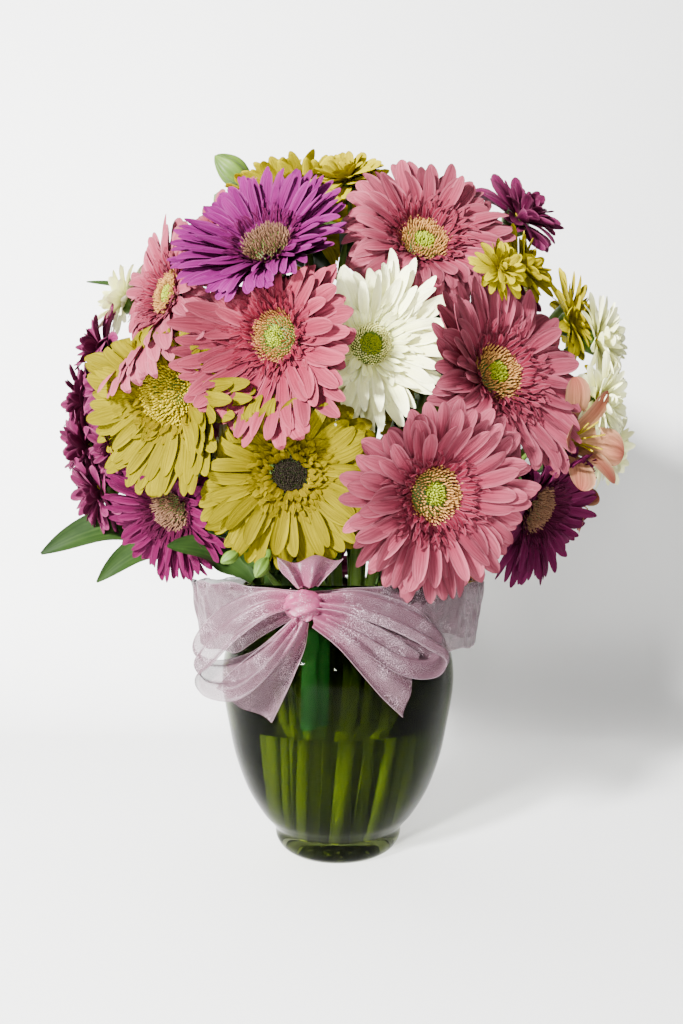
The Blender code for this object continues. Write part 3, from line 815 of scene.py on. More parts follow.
def pink(rank, count=34, sectors=(), half=0.094, colour="pink", **more):
    rows = rays(count, half, **more) + inner_florets(5, 44, 0.30, 0.46, 0.24, 0.026)
    return recipe(colour, rank, rows, PINK_EYE, sectors)


# Every magenta head but the top one takes the darker copy of the magenta: painted shade.
def magenta(rank, sectors=(), lean=18, tip_lean=6, colour="shaded_magenta"):
    rows = rays(40, 0.066, lean=lean, tip_lean=tip_lean, point=2.5)
    rows += inner_florets(4, 50, 0.32, 0.42, 0.28, 0.021)
    return recipe(colour, rank, rows, (
        (GREY_EYE, 340, 0.0, 0.33, 0.05, 0.09, 0.012, 25),), sectors)


def yellow(rank, eye, sectors=(), start=0.2, rings=6, colour="yellow"):
    rows = rays(36, 0.088, lean=12, tip_lean=0, point=3.0)
    rows += inner_florets(rings, 54, start, 0.52, 0.2, 0.028, lean=35, tone=(0.2, 0.9))
    return recipe(colour, rank, rows, eye, sectors)


def white(rank, sectors=()):
    rows = rays(26, 0.085, lean=16, tip_lean=6, point=1.6, wild=1.7)
    rows += inner_florets(4, 34, 0.27, 0.38, 0.36, 0.034, lean=26, tone=(0.2, 0.7))
    return recipe("white", rank, rows, (
        (LIME, 100, 0.0, 0.135, 0.09, 0.05, 0.013, 4),
        (PALE, 260, 0.14, 0.27, 0.08, 0.05, 0.0115, 14)), sectors)


DARK_YELLOW_EYE = ((DARK_EYE, 330, 0.0, 0.195, 0.03, 0.05, 0.012, 12),
                   (GOLD, 120, 0.195, 0.25, 0.02, 0.08, 0.009, 30))
GOLDEN_EYE = ((GOLD, 420, 0.0, 0.34, 0.07, 0.08, 0.013, 25),)

RECIPES = {
    "yellow_dark_eye": yellow(5, DARK_YELLOW_EYE, ((-20, 35, 14, 0.0), (90, 50, -8, -0.06))),
    "pink_mid_left": pink(9, 33, ((-85, 45, 4, 0.28), (90, 40, 6, 0.04), (165, 65, 0, -0.3)),
                          colour="rose"),
    "white_mid": white(6, ((100, 50, 25, -0.05),)),
    "pink_right": pink(10, 34, ((175, 55, 34, 0.08), (-60, 60, -10, 0.05)), tip_lean=-4),
    "pink_low_right": pink(11, 35, ((100, 50, 26, -0.1), (-90, 60, -6, 0.06))),
    "pink_top": pink(4, 35, ((-90, 60, 20, -0.05), (10, 60, -12, 0.12))),
    "magenta_top": magenta(9.3, ((-90, 80, -4, 0.05), (180, 50, 0, -0.18)), lean=24,
                           tip_lean=12, colour="magenta"),
    "pink_left": pink(5.6, 34, ((180, 60, -14, 0.0), (-100, 70, -20, 0.25))),
    "yellow_left": yellow(5.5, GOLDEN_EYE, ((-25, 30, 38, -0.1), (-120, 70, -10, 0.0),
                                          (55, 45, -30, -0.36)),
                          start=0.34, rings=4),
    "magenta_low_left": magenta(2, ((90, 60, 30, -0.1),)),
    "magenta_low_right": magenta(2.5, ((110, 60, 20, -0.1),)),
    "pink_top_left": pink(1),
    "yellow_crown": yellow(2, GOLDEN_EYE, start=0.34, rings=4, colour="lemon"),
    "pink_crown": pink(3.5),
    "white_back": white(5),
    "pink_back_left": pink(4),
    "yellow_back_right": yellow(6, DARK_YELLOW_EYE),
    "magenta_back_low": magenta(3),
    "pink_back_low": pink(5.2),
}
RANKS = {name: made["rank"] for name, made in RECIPES.items()}


# %% [markdown]
# ### Building a head
#
# Each head is three kinds of piece: all its petals as one, its eye, and the calyx. The petals
# take the solid cup's place. They are settled against the neighbours before they are joined.


# %% Build the gerberas
SLOTS = {"shaded_magenta": "magenta", "lemon": "yellow", "rose": "pink"}


def slot_of(colour):
    """Colour slot of a petal: shades of one colour share a slot."""
    return "petal_" + SLOTS.get(colour, colour)


def build_gerbera(name):
    head, made = heads[name], RECIPES[name]
    rows = []
    for row in made["rows"]:
        points, *rest = in_place(petal_row(head["radius"], row), head)
        rows.append((settle(points, name, RANKS), *rest))
    rays_piece = new_piece(f"petals_{name}", joined(rows), PETALS[made["colour"]])
    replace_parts(rays_piece, f"gerbera_{name}")
    for k, (material, *shape) in enumerate(made["eye"]):
        eye = in_place(eye_florets(*shape, head["radius"]), head)
        new_piece(f"eye_{name}_{k}", eye, material)
    new_piece(f"calyx_{name}", in_place(calyx(head["radius"]), head), GREEN)
    return sum(len(face) for row in rows for face in row[1])


for name in names:
    print(f"{name:20} {build_gerbera(name)} petal faces")

# %% [markdown]
# ## Stems
#
# Each stem runs straight from the vase floor to the neck and then bends to its head. The two
# ends of the straight run are read from slices of the solid stem, and the bend follows the same
# rule as the solid, so the drawn stem lies inside the same clearances.

# %% Stems of the gerberas
STEM, SPRAY_STEM, TWIG, SOCKET = 3.2 * MM, 2.4 * MM, 1.6 * MM, 4 * MM
NECK_HEIGHT, NECK_RADIUS, SLICE = 149 * MM, 55 * MM, 2.6 * MM
FOOT_TOP = 13 * MM


def straight_run(node):
    """Foot and neck of a stem: the middles of its slices at the floor and at the neck."""
    points = cad_points(node)
    out = np.hypot(points[:, 0], points[:, 1])
    foot = points[points[:, 2] < FOOT_TOP].mean(0)
    near = (abs(points[:, 2] - NECK_HEIGHT) < SLICE) & (out < NECK_RADIUS)
    return foot, points[near].mean(0)


def stem_line(node, end, arrival):
    """The straight run, then a Bezier that leaves along it and arrives along arrival."""
    foot, neck = straight_run(node)
    socket = end - arrival * SOCKET
    reach = np.linalg.norm(socket - neck)
    leave = unit(neck - foot)
    pull = arrival * min(0.34 * reach, 40 * MM)
    bend = bezier(neck, neck + leave * reach * 0.42, socket - pull, socket, 28)
    run = foot + (neck - foot) * np.linspace(0, 1, 9)[:, None]
    return np.concatenate([run[:-1], bend, [end]])


for k, name in enumerate(names):
    head = heads[name]
    normal = head["axes"][2]
    end = head["place"] - normal * CALYX_SHARE * head["radius"]
    line = stem_line(f"stem_{name}", end, normal)
    line[-1] = end + normal * 3 * MM
    swell = STEM * (1 + 0.12 * np.linspace(0, 1, len(line)) ** 6)
    stem = tube(line, swell, 14, k / len(names))
    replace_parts(new_piece(f"stalk_{name}", stem, GREEN), f"stem_{name}")
print(len(names), "stems")

# %% [markdown]
# ## Sprays
#
# A spray is one stem that forks to several small heads. The table repeats where the solid
# model puts them, in millimetres: the fork, then each head with its kind, place, the way it
# faces (degrees round from the front, degrees up) and its width, then each leaf with its foot,
# tip and width.

# %% Table of the sprays
SPRAYS = (
    ("mums_yellow_right", "lemon", (118, 8, 312), (
        ("mum", (118, -26, 372), 60, 20, 46), ("mum", (158, 4, 350), 86, 10, 48),
        ("mum", (184, 20, 306), 96, -4, 40), ("mum", (94, -76, 352), 24, 14, 30),
        ("mum", (150, -26, 336), 62, 8, 40)), ()),
    ("mums_white_right", "white", (132, 26, 262), (
        ("daisy", (168, -22, 326), 62, 4, 44), ("daisy", (166, -26, 286), 54, -8, 44),
        ("daisy", (186, 26, 262), 100, -6, 40)), ()),
    ("alstroemeria_right", "cream", (104, 10, 222), (
        ("floret", (148, -46, 258), 36, 0, 58), ("floret", (160, 2, 226), 82, -10, 42)), (
        ((108, 12, 224), (176, 8, 250), 17, -30),)),
    ("mums_purple_left", "purple", (-112, 18, 246), (
        ("mum", (-158, -4, 324), -64, 14, 48), ("mum", (-168, 2, 290), -70, 4, 50),
        ("mum", (-164, -10, 258), -62, -6, 50), ("mum", (-152, -22, 228), -56, -16, 46),
        ("mum", (-142, -30, 292), -40, 6, 44), ("mum", (-140, -34, 254), -40, -4, 42)), ()),
    ("mums_white_left", "white", (-84, 14, 330), (
        ("daisy", (-146, 8, 362), -76, 24, 40), ("daisy", (-122, 66, 368), -116, 30, 42)), (
        ((-86, 14, 330), (-172, 2, 374), 15, 50),)),
    ("alstroemeria_leaves_left", "green", (-86, 6, 200), (
        ("bud", (-112, 40, 196), -100, 10, 13),), (
        ((-84, 6, 198), (-190, -20, 188), 34, 70), ((-84, 4, 196), (-152, -26, 170), 24, 70))),
    ("alstroemeria_buds_front", "green", (-42, -68, 182), (
        ("bud", (-40, -98, 181), -40, -50, 8), ("bud", (-58, -90, 186), -60, -30, 7)), (
        ((-50, -56, 172), (-98, -70, 192), 26, 60), ((-34, -64, 172), (-72, -84, 200), 20, 40),
        ((-6, -70, 170), (-34, -84, 204), 20, 30), ((22, -68, 170), (50, -84, 200), 20, -40))),
    ("mums_purple_back", "purple", (-6, 84, 250), (
        ("mum", (-12, 128, 280), -176, 6, 44), ("mum", (-12, 112, 178), 178, -24, 40)), ()),
    ("alstroemeria_back", "cream", (70, 66, 216), (
        ("floret", (118, 84, 226), 126, -6, 46), ("floret", (98, 96, 186), 134, -28, 42)), (
        ((74, 68, 218), (148, 66, 212), 18, 0),)),
    ("mums_purple_top", "purple", (92, 14, 372), (
        ("mum", (122, -8, 414), 40, 34, 54), ("mum", (128, 50, 384), 112, 24, 44)), ()),
    ("mums_yellow_top", "lemon", (6, -12, 396), (
        ("mum", (6, -20, 434), -10, 42, 44), ("mum", (-34, -2, 440), -20, 48, 40),), ()),
    ("alstroemeria_top", "green", (-62, 52, 414), (
        ("bud", (-74, 30, 464), -70, 34, 19), ("bud", (-84, 52, 452), -120, 40, 15)), ()),
)
FULL = 1.12
DEPTHS = {"mum": 0.5, "daisy": 0.5, "floret": 0.9, "bud": 1.2}


def facing(azimuth, elevation):
    a, e = np.radians(azimuth), np.radians(elevation)
    return np.array([np.sin(a) * np.cos(e), -np.cos(a) * np.cos(e), np.sin(e)])


# %% [markdown]
# ### Small heads
#
# The small chrysanthemums are built like gerberas, with shorter and broader petals in more
# rings. An alstroemeria is a funnel of six tepals, three broad ones and three narrow striped
# ones, with thin stamens. A bud is a fluted egg.

# %% Small heads
def small_ring(*numbers, **more):
    """A ring of a small head: its petals are thicker and less even than a gerbera's."""
    return ring(*numbers, **{"stations": 8, "thick": 0.02, "scatter": 0.5, "wild": 1.5, **more})


TEPAL = {"stations": 12, "across": 6, "wild": 0.8, "scatter": 0.1}
SMALL_ROWS = {
    "mum": (
        small_ring(14, 0.10, 1.05, 0.19, -0.06, 8, -14, 0.0),
        small_ring(13, 0.10, 0.97, 0.18, 0.0, 22, 0, 0.1, shift=0.5),
        small_ring(11, 0.08, 0.84, 0.16, 0.03, 38, 14, 0.25),
        small_ring(9, 0.06, 0.68, 0.14, 0.05, 54, 34, 0.45, shift=0.5),
        small_ring(7, 0.03, 0.50, 0.12, 0.06, 68, 66, 0.7),
        small_ring(5, 0.01, 0.36, 0.10, 0.07, 80, 95, 0.9)),
    "daisy": (
        small_ring(15, 0.12, 1.15, 0.17, -0.04, 10, -16, 0.0, wild=1.1),
        small_ring(14, 0.12, 1.10, 0.16, 0.0, 26, 4, 0.05, shift=0.5, wild=1.1),
        small_ring(12, 0.12, 0.95, 0.15, 0.03, 42, 24, 0.15, wild=1.1),
        small_ring(10, 0.10, 0.75, 0.13, 0.05, 58, 48, 0.4, shift=0.5, wild=1.1),
        small_ring(7, 0.04, 0.55, 0.12, 0.06, 72, 70, 0.7, shift=0.5, wild=1.1)),
    "floret": (
        small_ring(3, 0.05, 1.4, 0.36, -0.5, 66, -6, 0.0, peak=0.7, **TEPAL),
        small_ring(3, 0.04, 1.3, 0.26, -0.46, 72, 6, 0.55, peak=0.65, shift=0.5, **TEPAL)),
    "bud": (),
}
SMALL_EYES = {"mum": (90, 0.12), "daisy": (120, 0.22)}
SMALL_CUP = np.array(((0, -0.5), (0.1, -0.5), (0.22, -0.36), (0.36, -0.16), (0.3, 0), (0, 0.02)))
BUD_SHAPE = np.array(((0, -1.2), (0.3, -1.1), (0.66, -0.6), (0.86, 0.0), (0.84, 0.6),
                      (0.6, 1.2), (0.28, 1.65), (0, 1.85)))
FUNNEL = np.array(((0, -0.95), (0.1, -0.95), (0.16, -0.8), (0.13, -0.5), (0.1, -0.42),
                   (0, -0.4)))


def stamens(radius):
    """Six thin threads that lean out of the funnel."""
    rays_out = around(np.arange(6) * np.pi / 3 + 0.2)
    lines = [smooth_curve(np.array([(0, 0, -0.5), ray * 0.12, ray * 0.3 + (0, 0, 0.35)])
                          * radius, 8) for ray in rays_out]
    return [tube(line, 0.018 * radius, 5) for line in lines]


def small_head(kind, radius):
    """Parts of a small head: its petals, its green parts, and its eye."""
    petals = [petal_row(radius, row) for row in SMALL_ROWS[kind]]
    if kind == "bud":
        return petals, [lathe(smooth_curve(BUD_SHAPE * radius, 22), 48, 6, 0.11)], []
    if kind == "floret":
        return petals, [lathe(FUNNEL * radius, 16)], stamens(radius)
    count, wide = SMALL_EYES[kind]
    eye = eye_florets(count, 0.0, wide, 0.1, 0.1, 0.022, 15, radius)
    return petals, [lathe(SMALL_CUP * radius, 20)], [eye]


# %% [markdown]
# ### Twigs and leaves
#
# A twig is a Bezier from the fork to the back of its head. A leaf is one broad blade that
# arches over. Alstroemeria stems carry a leaf every few centimetres, and in a tight bouquet
# those leaves fill the dark spaces between the heads, so each spray stem gets leaves up its
# bend, pointing out to all sides by the golden angle.


# %% Twigs and leaves
LEAF_WIDTHS = ((0, 0.15, 0.4, 0.7, 0.9, 1), (0.12, 0.55, 1, 0.8, 0.35, 0.04))
FOLIAGE_REACH = 74


def twig_line(fork, rising, place, normal, depth):
    end = place - normal * depth * 0.85
    reach = np.linalg.norm(end - fork)
    line = bezier(fork, fork + rising * reach * 0.3, end - normal * reach * 0.35, end, 16)
    return np.concatenate([[fork - rising * 3 * MM], line])


def leaf(foot, tip, width, turned, arch=0.16):
    """A leaf from foot to tip that arches over by arch x length x sin(pi t), with its blade
    turned about its own length by some degrees."""
    t = stations_along(25)
    foot, tip = np.asarray(foot) * MM, np.asarray(tip) * MM
    run = tip - foot
    length = np.linalg.norm(run)
    side = unit(np.cross(run, UP))
    over = unit(np.cross(side, run))
    line = foot + run * t[:, None] + over * (length * arch * np.sin(np.pi * t))[:, None]
    up = np.cross(side, unit(np.gradient(line, axis=0)))
    shape = np.interp(t, *LEAF_WIDTHS)
    shape = np.convolve(np.pad(shape, 2, mode="edge"), np.ones(5) / 5, "valid")
    roll = (np.radians(turned) + 0.3 * np.sin(2.2 * np.pi * t))[:, None]
    sides = side * np.cos(roll) + up * np.sin(roll)
    ups = up * np.cos(roll) - side * np.sin(roll)
    return blades(line[None], sides[None], ups[None], (shape * width * MM / 2)[None],
                  np.array([-0.3]), 0.2 * MM, 0.7 * MM, np.array([[0.5, 0.0]]), across=8)


def foliage(line, count, number):
    """Leaves along the upper part of a stem. Leaf k leaves the stem k golden angles further
    round, leans outwards from the middle of the bouquet, and stops short of the heads."""
    made = []
    spots = line[np.linspace(len(line) * 0.35, len(line) - 3, count).astype(int)] / MM
    for k, spot in enumerate(spots):
        away = unit(spot * (1, 1, 0)) * 0.5 + around((k + number) * GOLDEN_ANGLE)
        way = unit(unit(away) + (0, 0, 0.5))
        tip = spot + way * (60 - 12 * (k % 3))
        tip[:2] *= min(1, FOLIAGE_REACH / np.hypot(tip[0], tip[1]))
        made.append(leaf(spot, tip, 24, 40 * (-1) ** k))
    return made


# %% [markdown]
# ### Building a spray
#
# A spray becomes up to four pieces: its green stalks, which take the solid's place, its petals,
# its eyes and its leaves.

# %% Build the sprays
for number, (name, colour, fork, blooms, leaves) in enumerate(SPRAYS):
    fork = np.array(fork) * MM
    outward = unit(fork * (1, 1, 0))
    line = stem_line(name, fork, unit(outward + (0, 0, 1.2)))
    green = [tube(line, SPRAY_STEM, 10, number / len(SPRAYS))]
    rising = unit(line[-1] - line[-3])
    petals, eyes = [], []
    greenery = [leaf(*one) for one in leaves] + foliage(line, 9, number)
    for kind, place, azimuth, elevation, width in blooms:
        radius, normal = width * FULL / 2 * MM, facing(azimuth, elevation)
        place = np.array(place) * MM
        twig = twig_line(fork, rising, place, normal, DEPTHS[kind] * radius)
        green.append(tube(twig, TWIG, 8, rng.random()))
        head = {"place": place, "axes": head_axes(normal)}
        for group, parts in zip((petals, green, eyes), small_head(kind, radius)):
            group += [in_place(part, head) for part in parts]
    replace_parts(new_piece(f"stalks_{name}", joined(green), GREEN), name)
    for title, parts, material, slot in (
        ("petals", petals, PETALS.get(colour), slot_of(colour)),
        ("eyes", eyes, GOLD, slot_of(colour)),
        ("leaves", greenery, LEAF, "leaf"),
    ):
        if parts:
            new_piece(f"{title}_{name}", joined(parts), material)
print(len(SPRAYS), "sprays")

# %% [markdown]
# ## The vase and its water
#
# The outline of the urn is read off the solid. Glass looks like glass only when it is a closed
# wall with two faces, so the outline is taken up the outside, round the lip and down the
# inside. The water is a second closed body that reaches a hair into the glass: with a gap
# there, light would see air between the two and the water would shine like a mirror. Two of
# the stems wear a thin teal plastic sleeve that keeps them straight.

# %% Glass and water
def clear_shader(tree, shader, tone, ior, rough, shade):
    """Solid glass or water. Lamps and scattered light pass its surface with only the share
    called shade held back, so the stems inside are lit. Looked at, the surface stays solid."""
    path = add(tree, "ShaderNodeLightPath")
    passing = math(tree, "MAXIMUM", path.outputs["Is Shadow Ray"], path.outputs["Is Diffuse Ray"])
    held = math(tree, "SUBTRACT", 1.0, math(tree, "MULTIPLY", passing, 1.0 - shade))
    wire(tree, shader, {"Base Color": tone, "Transmission Weight": 1.0, "Metallic": 0.0,
                        "Roughness": rough, "IOR": ior, "Alpha": held})


def glass_material():
    """Green glass: darker at a slant and in the thick foot, with slight waves in its face."""
    material, tree, shader = new_material("green glass")
    tone = mix(tree, mottle(tree, 14.0), (0.045, 0.056, 0.013), (0.06, 0.074, 0.019))
    foot = remap(tree, part_of(tree, own_place(tree), "Z"), (0.012, 0.045), (0.75, 0.0))
    tone = mix(tree, foot, tone, (0.010, 0.013, 0.004))
    slant = add(tree, "ShaderNodeLayerWeight", {"Blend": 0.35}).outputs["Facing"]
    tone = mix(tree, slant, tone, (0.02, 0.025, 0.008))
    clear_shader(tree, shader, tone, 1.1, 0.015, 0.2)
    wire(tree, shader, {"Normal": bump(tree, mottle(tree, 40.0), 0.25, 0.001)})
    return material


def water_material():
    """Water that has taken on the colour of the stems."""
    material, tree, shader = new_material("water")
    tone = mix(tree, mottle(tree, 30.0), (0.78, 0.86, 0.55), (0.86, 0.92, 0.66))
    clear_shader(tree, shader, tone, 1.33, 0.0, 0.05)
    return material


# %% [markdown]
# ### The outline, outside and inside
#
# The inner wall is the outer one moved in along its normals by the wall's thickness, down to a
# rounded inner floor.

# %% Vase and water
VASE_FLOOR, WATER_TOP, WALL = 11 * MM, 81 * MM, 3.2 * MM
RIM_FOOT = 167.5 * MM  # above it the solid's lip is replaced by a rounded one


def outline(node):
    """Greatest radius of a turned solid at each of its heights, without the inner floor."""
    points = cad_points(node)
    height = np.round(points[:, 2], 4)
    out = np.hypot(points[:, 0], points[:, 1])
    levels = [z for z in np.unique(height) if abs(z - VASE_FLOOR) > 1 * MM]
    return np.array([(out[height == z].max(), z) for z in levels if z < RIM_FOOT])


outer = smooth_curve(outline("vase"), 90)
slope = unit(np.gradient(outer, axis=0))
inner = outer - np.stack([slope[:, 1], -slope[:, 0]], -1) * WALL
inner = inner[(inner[:, 1] > VASE_FLOOR + 3.5 * MM)]
lip = outer[-1] + np.array([(0.9, 0.9), (0.4, 2.0), (-0.9, 2.6), (-2.2, 2.3)]) * MM
floor_in = np.array([(0, 11), (20, 11), (30, 11.6), (34.5, 13.2)]) * MM
base = np.array([(0, 2.2), (22, 1.8), (27, 0.6), (30, 0.0)]) * MM
vase = lathe(np.concatenate([base, outer, lip, inner[::-1], floor_in[::-1]]), 128)
vase_piece = new_piece("urn", vase, glass_material())
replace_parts(vase_piece, "vase")

wall_line = inner[inner[:, 1] < WATER_TOP - 1 * MM] + (0.15 * MM, 0)
rim = np.array([wall_line[-1, 0], WATER_TOP + 1 * MM])
meniscus = rim + np.array([(0, 0), (-1.2, -0.9), (-4, -1)]) * MM
bottom = floor_in - (0, 0.15 * MM)
water = lathe(np.concatenate([bottom, wall_line, meniscus, [(0, WATER_TOP)]]), 96)
water_piece = new_piece("pool", water, water_material())
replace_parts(water_piece, "water")
print("urn", np.round(outer.max(0) * 1000), "mm at its widest and its lip")

# %% [markdown]
# ### Sleeves
#
# A plastic sleeve on a stem is a plain tube a little wider than the stem, over the part of the
# straight run that rises from the water.

# %% Sleeves on two stems
SLEEVE_RADIUS, SLEEVE_ENDS = 5.2 * MM, np.array([78, 142]) * MM
sleeve, tree, shader = new_material("teal sleeve")
wire(tree, shader, {
    "Base Color": mix(tree, mottle(tree, 120.0), (0.10, 0.55, 0.36), (0.18, 0.75, 0.52)),
    "Roughness": 0.35,
})
for name in ("yellow_dark_eye", "pink_mid_left"):
    foot, neck = straight_run(f"stem_{name}")
    share = (SLEEVE_ENDS - foot[2]) / (neck[2] - foot[2])
    line = foot + (neck - foot) * np.linspace(*share, 12)[:, None]
    new_piece(f"sleeve_{name}", tube(line, SLEEVE_RADIUS, 16), sleeve)
    print(f"sleeve on {name}: {np.linalg.norm(line[-1] - line[0]) * 1000:.0f} mm")

# %% [markdown]
# ## The organza bow
#
# The ribbon is sheer nylon, about 38 mm wide. Its material lets light through more where it is
# seen face on, and turns to a deeper pink near the knot, where many layers lie on each other.
# Patches of sheen with fine glints are painted into its colour and its cover: a painted highlight.
# A cloth simulation could find the folds, but a tied bow is easier to draw than to tie, so its
# folds are waves with a formula.


# %% Organza material
def organza_material():
    material, tree, shader = new_material("organza")
    uv = add(tree, "ShaderNodeUVMap").outputs[0]
    near_knot = read_tint(tree)[0]
    from_middle = math(tree, "ABSOLUTE", math(tree, "SUBTRACT", part_of(tree, uv, "X"), 0.5))
    selvage = remap(tree, from_middle, (0.475, 0.495))
    grain = add(tree, "ShaderNodeTexNoise", {"Vector": own_place(tree), "Scale": 2200.0,
                                             "Detail": 2.0}).outputs["Fac"]
    # Painted sheen: soft patches where the cloth is made lighter, standing in for light on the
    # nylon.
    painted_sheen = remap(tree, mottle(tree, 70.0), (0.48, 0.62))
    painted_sheen = math(tree, "ADD", math(tree, "MULTIPLY", painted_sheen, 0.8), 0.12)
    # Painted glints: fine specks of light within the sheen patches.
    spark = math(tree, "MULTIPLY", remap(tree, grain, (0.57, 0.66)), painted_sheen)
    threads = streaks(tree, uv, 0.4, 60.0)
    tone = mix(tree, threads, (0.06, 0.028, 0.038), (0.12, 0.06, 0.078))
    tone = mix(tree, near_knot, tone, (0.22, 0.03, 0.085))
    # This holds the painted glints and the real lighter selvage. It makes the colour lighter and the
    # cloth more opaque.
    light = math(tree, "MAXIMUM", spark, math(tree, "MULTIPLY", selvage, 0.22))
    slant = add(tree, "ShaderNodeLayerWeight", {"Blend": 0.35}).outputs["Facing"]
    cover = remap(tree, slant, made=(0.40, 0.85))
    cover = math(tree, "ADD", cover, math(tree, "MULTIPLY", light, 0.4))
    cover = math(tree, "ADD", cover, math(tree, "MULTIPLY", near_knot, 0.4), clamp=True)
    wire(tree, shader, {
        "Base Color": mix(tree, light, tone, (0.48, 0.38, 0.42)),
        "Alpha": cover,
        "Roughness": remap(tree, threads, made=(0.3, 0.5)),
        "Specular IOR Level": 0.25,
    })
    return material


organza = organza_material()

# %% [markdown]
# ### One stretch of ribbon
#
# Each stretch is a grid of points, one row for each step along it. A thin Solidify gives the
# cloth two faces. The measure printed is its area against the same length laid flat.

# %% Cloth
RIBBON_WIDTH, CLOTH = 38 * MM, 0.22 * MM
KNOT = np.array((-18, -103.6, 160)) * MM
KNOT_GLOW = 22 * MM


def cloth(name, node, points, length, closed=False):
    """A strip from a grid of points, joined end to end where it is a closed band. Its tint
    says how near the knot it is: the exponential of minus the squared distance."""
    rows, columns = points.shape[:2]
    grid = np.arange(rows * columns).reshape(rows, columns)
    if closed:
        grid = np.concatenate([grid, grid[:1]])
    u, v = np.meshgrid(np.linspace(0, 1, columns), np.linspace(0, length / 0.04, rows))
    flat = points.reshape(-1, 3)
    tint = np.full((len(flat), 4), 0.5)
    tint[:, 0] = np.exp(-((np.linalg.norm(flat - KNOT, axis=1) / KNOT_GLOW) ** 2)) * 0.8
    part = flat, [grid_quads(grid)], np.stack([u.ravel(), v.ravel()], -1), tint
    piece = new_piece(name, part, organza)
    wall = piece.modifiers.new("cloth", "SOLIDIFY")
    wall.thickness = CLOTH
    wall.offset = 0
    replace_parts(piece, node)
    area = sum(face.area for face in piece.data.polygons)
    print(f"{name}: {area / (RIBBON_WIDTH * length):.2f} of its flat area, {length * 1000:.0f} mm")


# %% [markdown]
# ### The band
#
# The band goes once round the lip. It is a ring whose two edges close in on the knot, with
# waves of unlike lengths that never quite repeat.

# %% Band
BAND_TOP, BAND_FOOT = np.array((94.8, 171)) * MM, np.array((89, 131)) * MM
PINCH_ANGLE, PINCH_WIDTH = 34, 15 * MM


def band():
    """The band round the lip. At each angle its upper and lower edges close in on the knot
    within the pinch angle. Waves of several lengths push it out and let its upper edge
    flutter."""
    turn = np.radians(np.arange(0, 360, 0.75))[:, None]
    c = np.linspace(-1, 1, 25)[None]
    knot_turn = np.arctan2(KNOT[0], -KNOT[1])
    off = np.degrees(np.abs((turn - knot_turn + np.pi) % (2 * np.pi) - np.pi))
    share = np.clip(off / PINCH_ANGLE, 0, 1)
    share = share * share * (3 - 2 * share)
    way = unit(BAND_TOP - BAND_FOOT)
    full = np.linalg.norm(BAND_TOP - BAND_FOOT)
    width = PINCH_WIDTH + (full - PINCH_WIDTH) * share
    open_r, open_z = (BAND_TOP + BAND_FOOT) / 2
    middle_r = (1 - share) * (BAND_TOP[0] + 0.2 * MM) + share * open_r
    middle_z = (1 - share) * KNOT[2] + share * open_z
    fold = (np.sin(23 * turn + 2 * c) + 0.7 * np.sin(37 * turn - 3 * c + 1)
            + 0.5 * np.sin(61 * turn + 5 * c))
    near = np.exp(-((off / 30) ** 2))
    gather = near * np.sin(9 * np.pi * c / 2 + 3 * turn)
    depth = (0.35 + 0.5 * (c + 1) / 2) * MM * fold * (1 - near) + 0.9 * MM * gather
    radius = middle_r + way[0] * width / 2 * c + depth
    height = middle_z + way[1] * width / 2 * c + 0.8 * MM * np.sin(17 * turn + 1) * share * c
    return np.stack([radius * np.sin(turn), -radius * np.cos(turn), height], -1)


cloth("bow_band", "ribbon_band", band(), 2 * np.pi * 0.092, closed=True)

# %% [markdown]
# ### Loops and tails
#
# A loop or a tail is drawn through stations, each with a middle point and half its width as a
# vector, in millimetres. The gathers fan out from the knot as waves across the width, tightest
# where the ribbon is pinched.

# %% Loops and tails
STRIPS = {
    "ribbon_loop_left": (
        ((-22, -104, 162), (0.5, 3, 4)), ((-38, -104, 160), (-2, 7, 7)),
        ((-56, -100, 150), (-4, 9, 9)), ((-70, -93, 137), (-5, 10, 9)),
        ((-76, -90, 128), (-3, 12, 7)), ((-68, -96, 122), (1, 10, 8)),
        ((-50, -104, 124), (3, 8, 11)), ((-34, -108, 136), (3, 5, 11)),
        ((-20, -107, 152), (0, 3, 5))),
    "ribbon_loop_right": (
        ((-10, -103, 163), (0.5, 3, 4)), ((10, -104, 162), (0, 6, 7)),
        ((30, -102, 156), (-2, 8, 9)), ((46, -98, 148), (-2, 9, 10)),
        ((56, -93, 139), (-2, 10, 8)), ((49, -99, 131), (-3, 9, 8)),
        ((33, -105, 134), (-2, 7, 10)), ((14, -107, 145), (-1, 5, 9)),
        ((-6, -106, 154), (0, 3, 5))),
    "ribbon_loop_top": (
        ((-17, -102, 169), (4, 0, 0)), ((-17, -101, 174), (9, 0, 0)),
        ((-16, -100, 180), (15, 0, 1)), ((-15, -101, 184), (17, 0, 1)),
        ((-14, -105, 184), (17, 0, 1)), ((-14, -108, 178), (11, 0, 0)),
        ((-15, -107, 170), (5, 0, 0))),
    "ribbon_tail_left": (
        ((-18, -107, 152), (3, 0, -1)), ((-24, -107, 141), (7, 0, -3)),
        ((-34, -105, 128), (11, 1, -6)), ((-44, -101, 115), (14, 1, -8)),
        ((-50, -97, 106), (15, 1, -9))),
    "ribbon_tail_right": (
        ((-12, -107, 154), (1, 0, 5)), ((2, -109, 148), (2, 0, 9)),
        ((15, -109, 138), (2.5, 0, 13)), ((27, -107, 128), (3.5, 1, 15.5)),
        ((39, -103, 118), (4.2, 1, 16.5))),
}


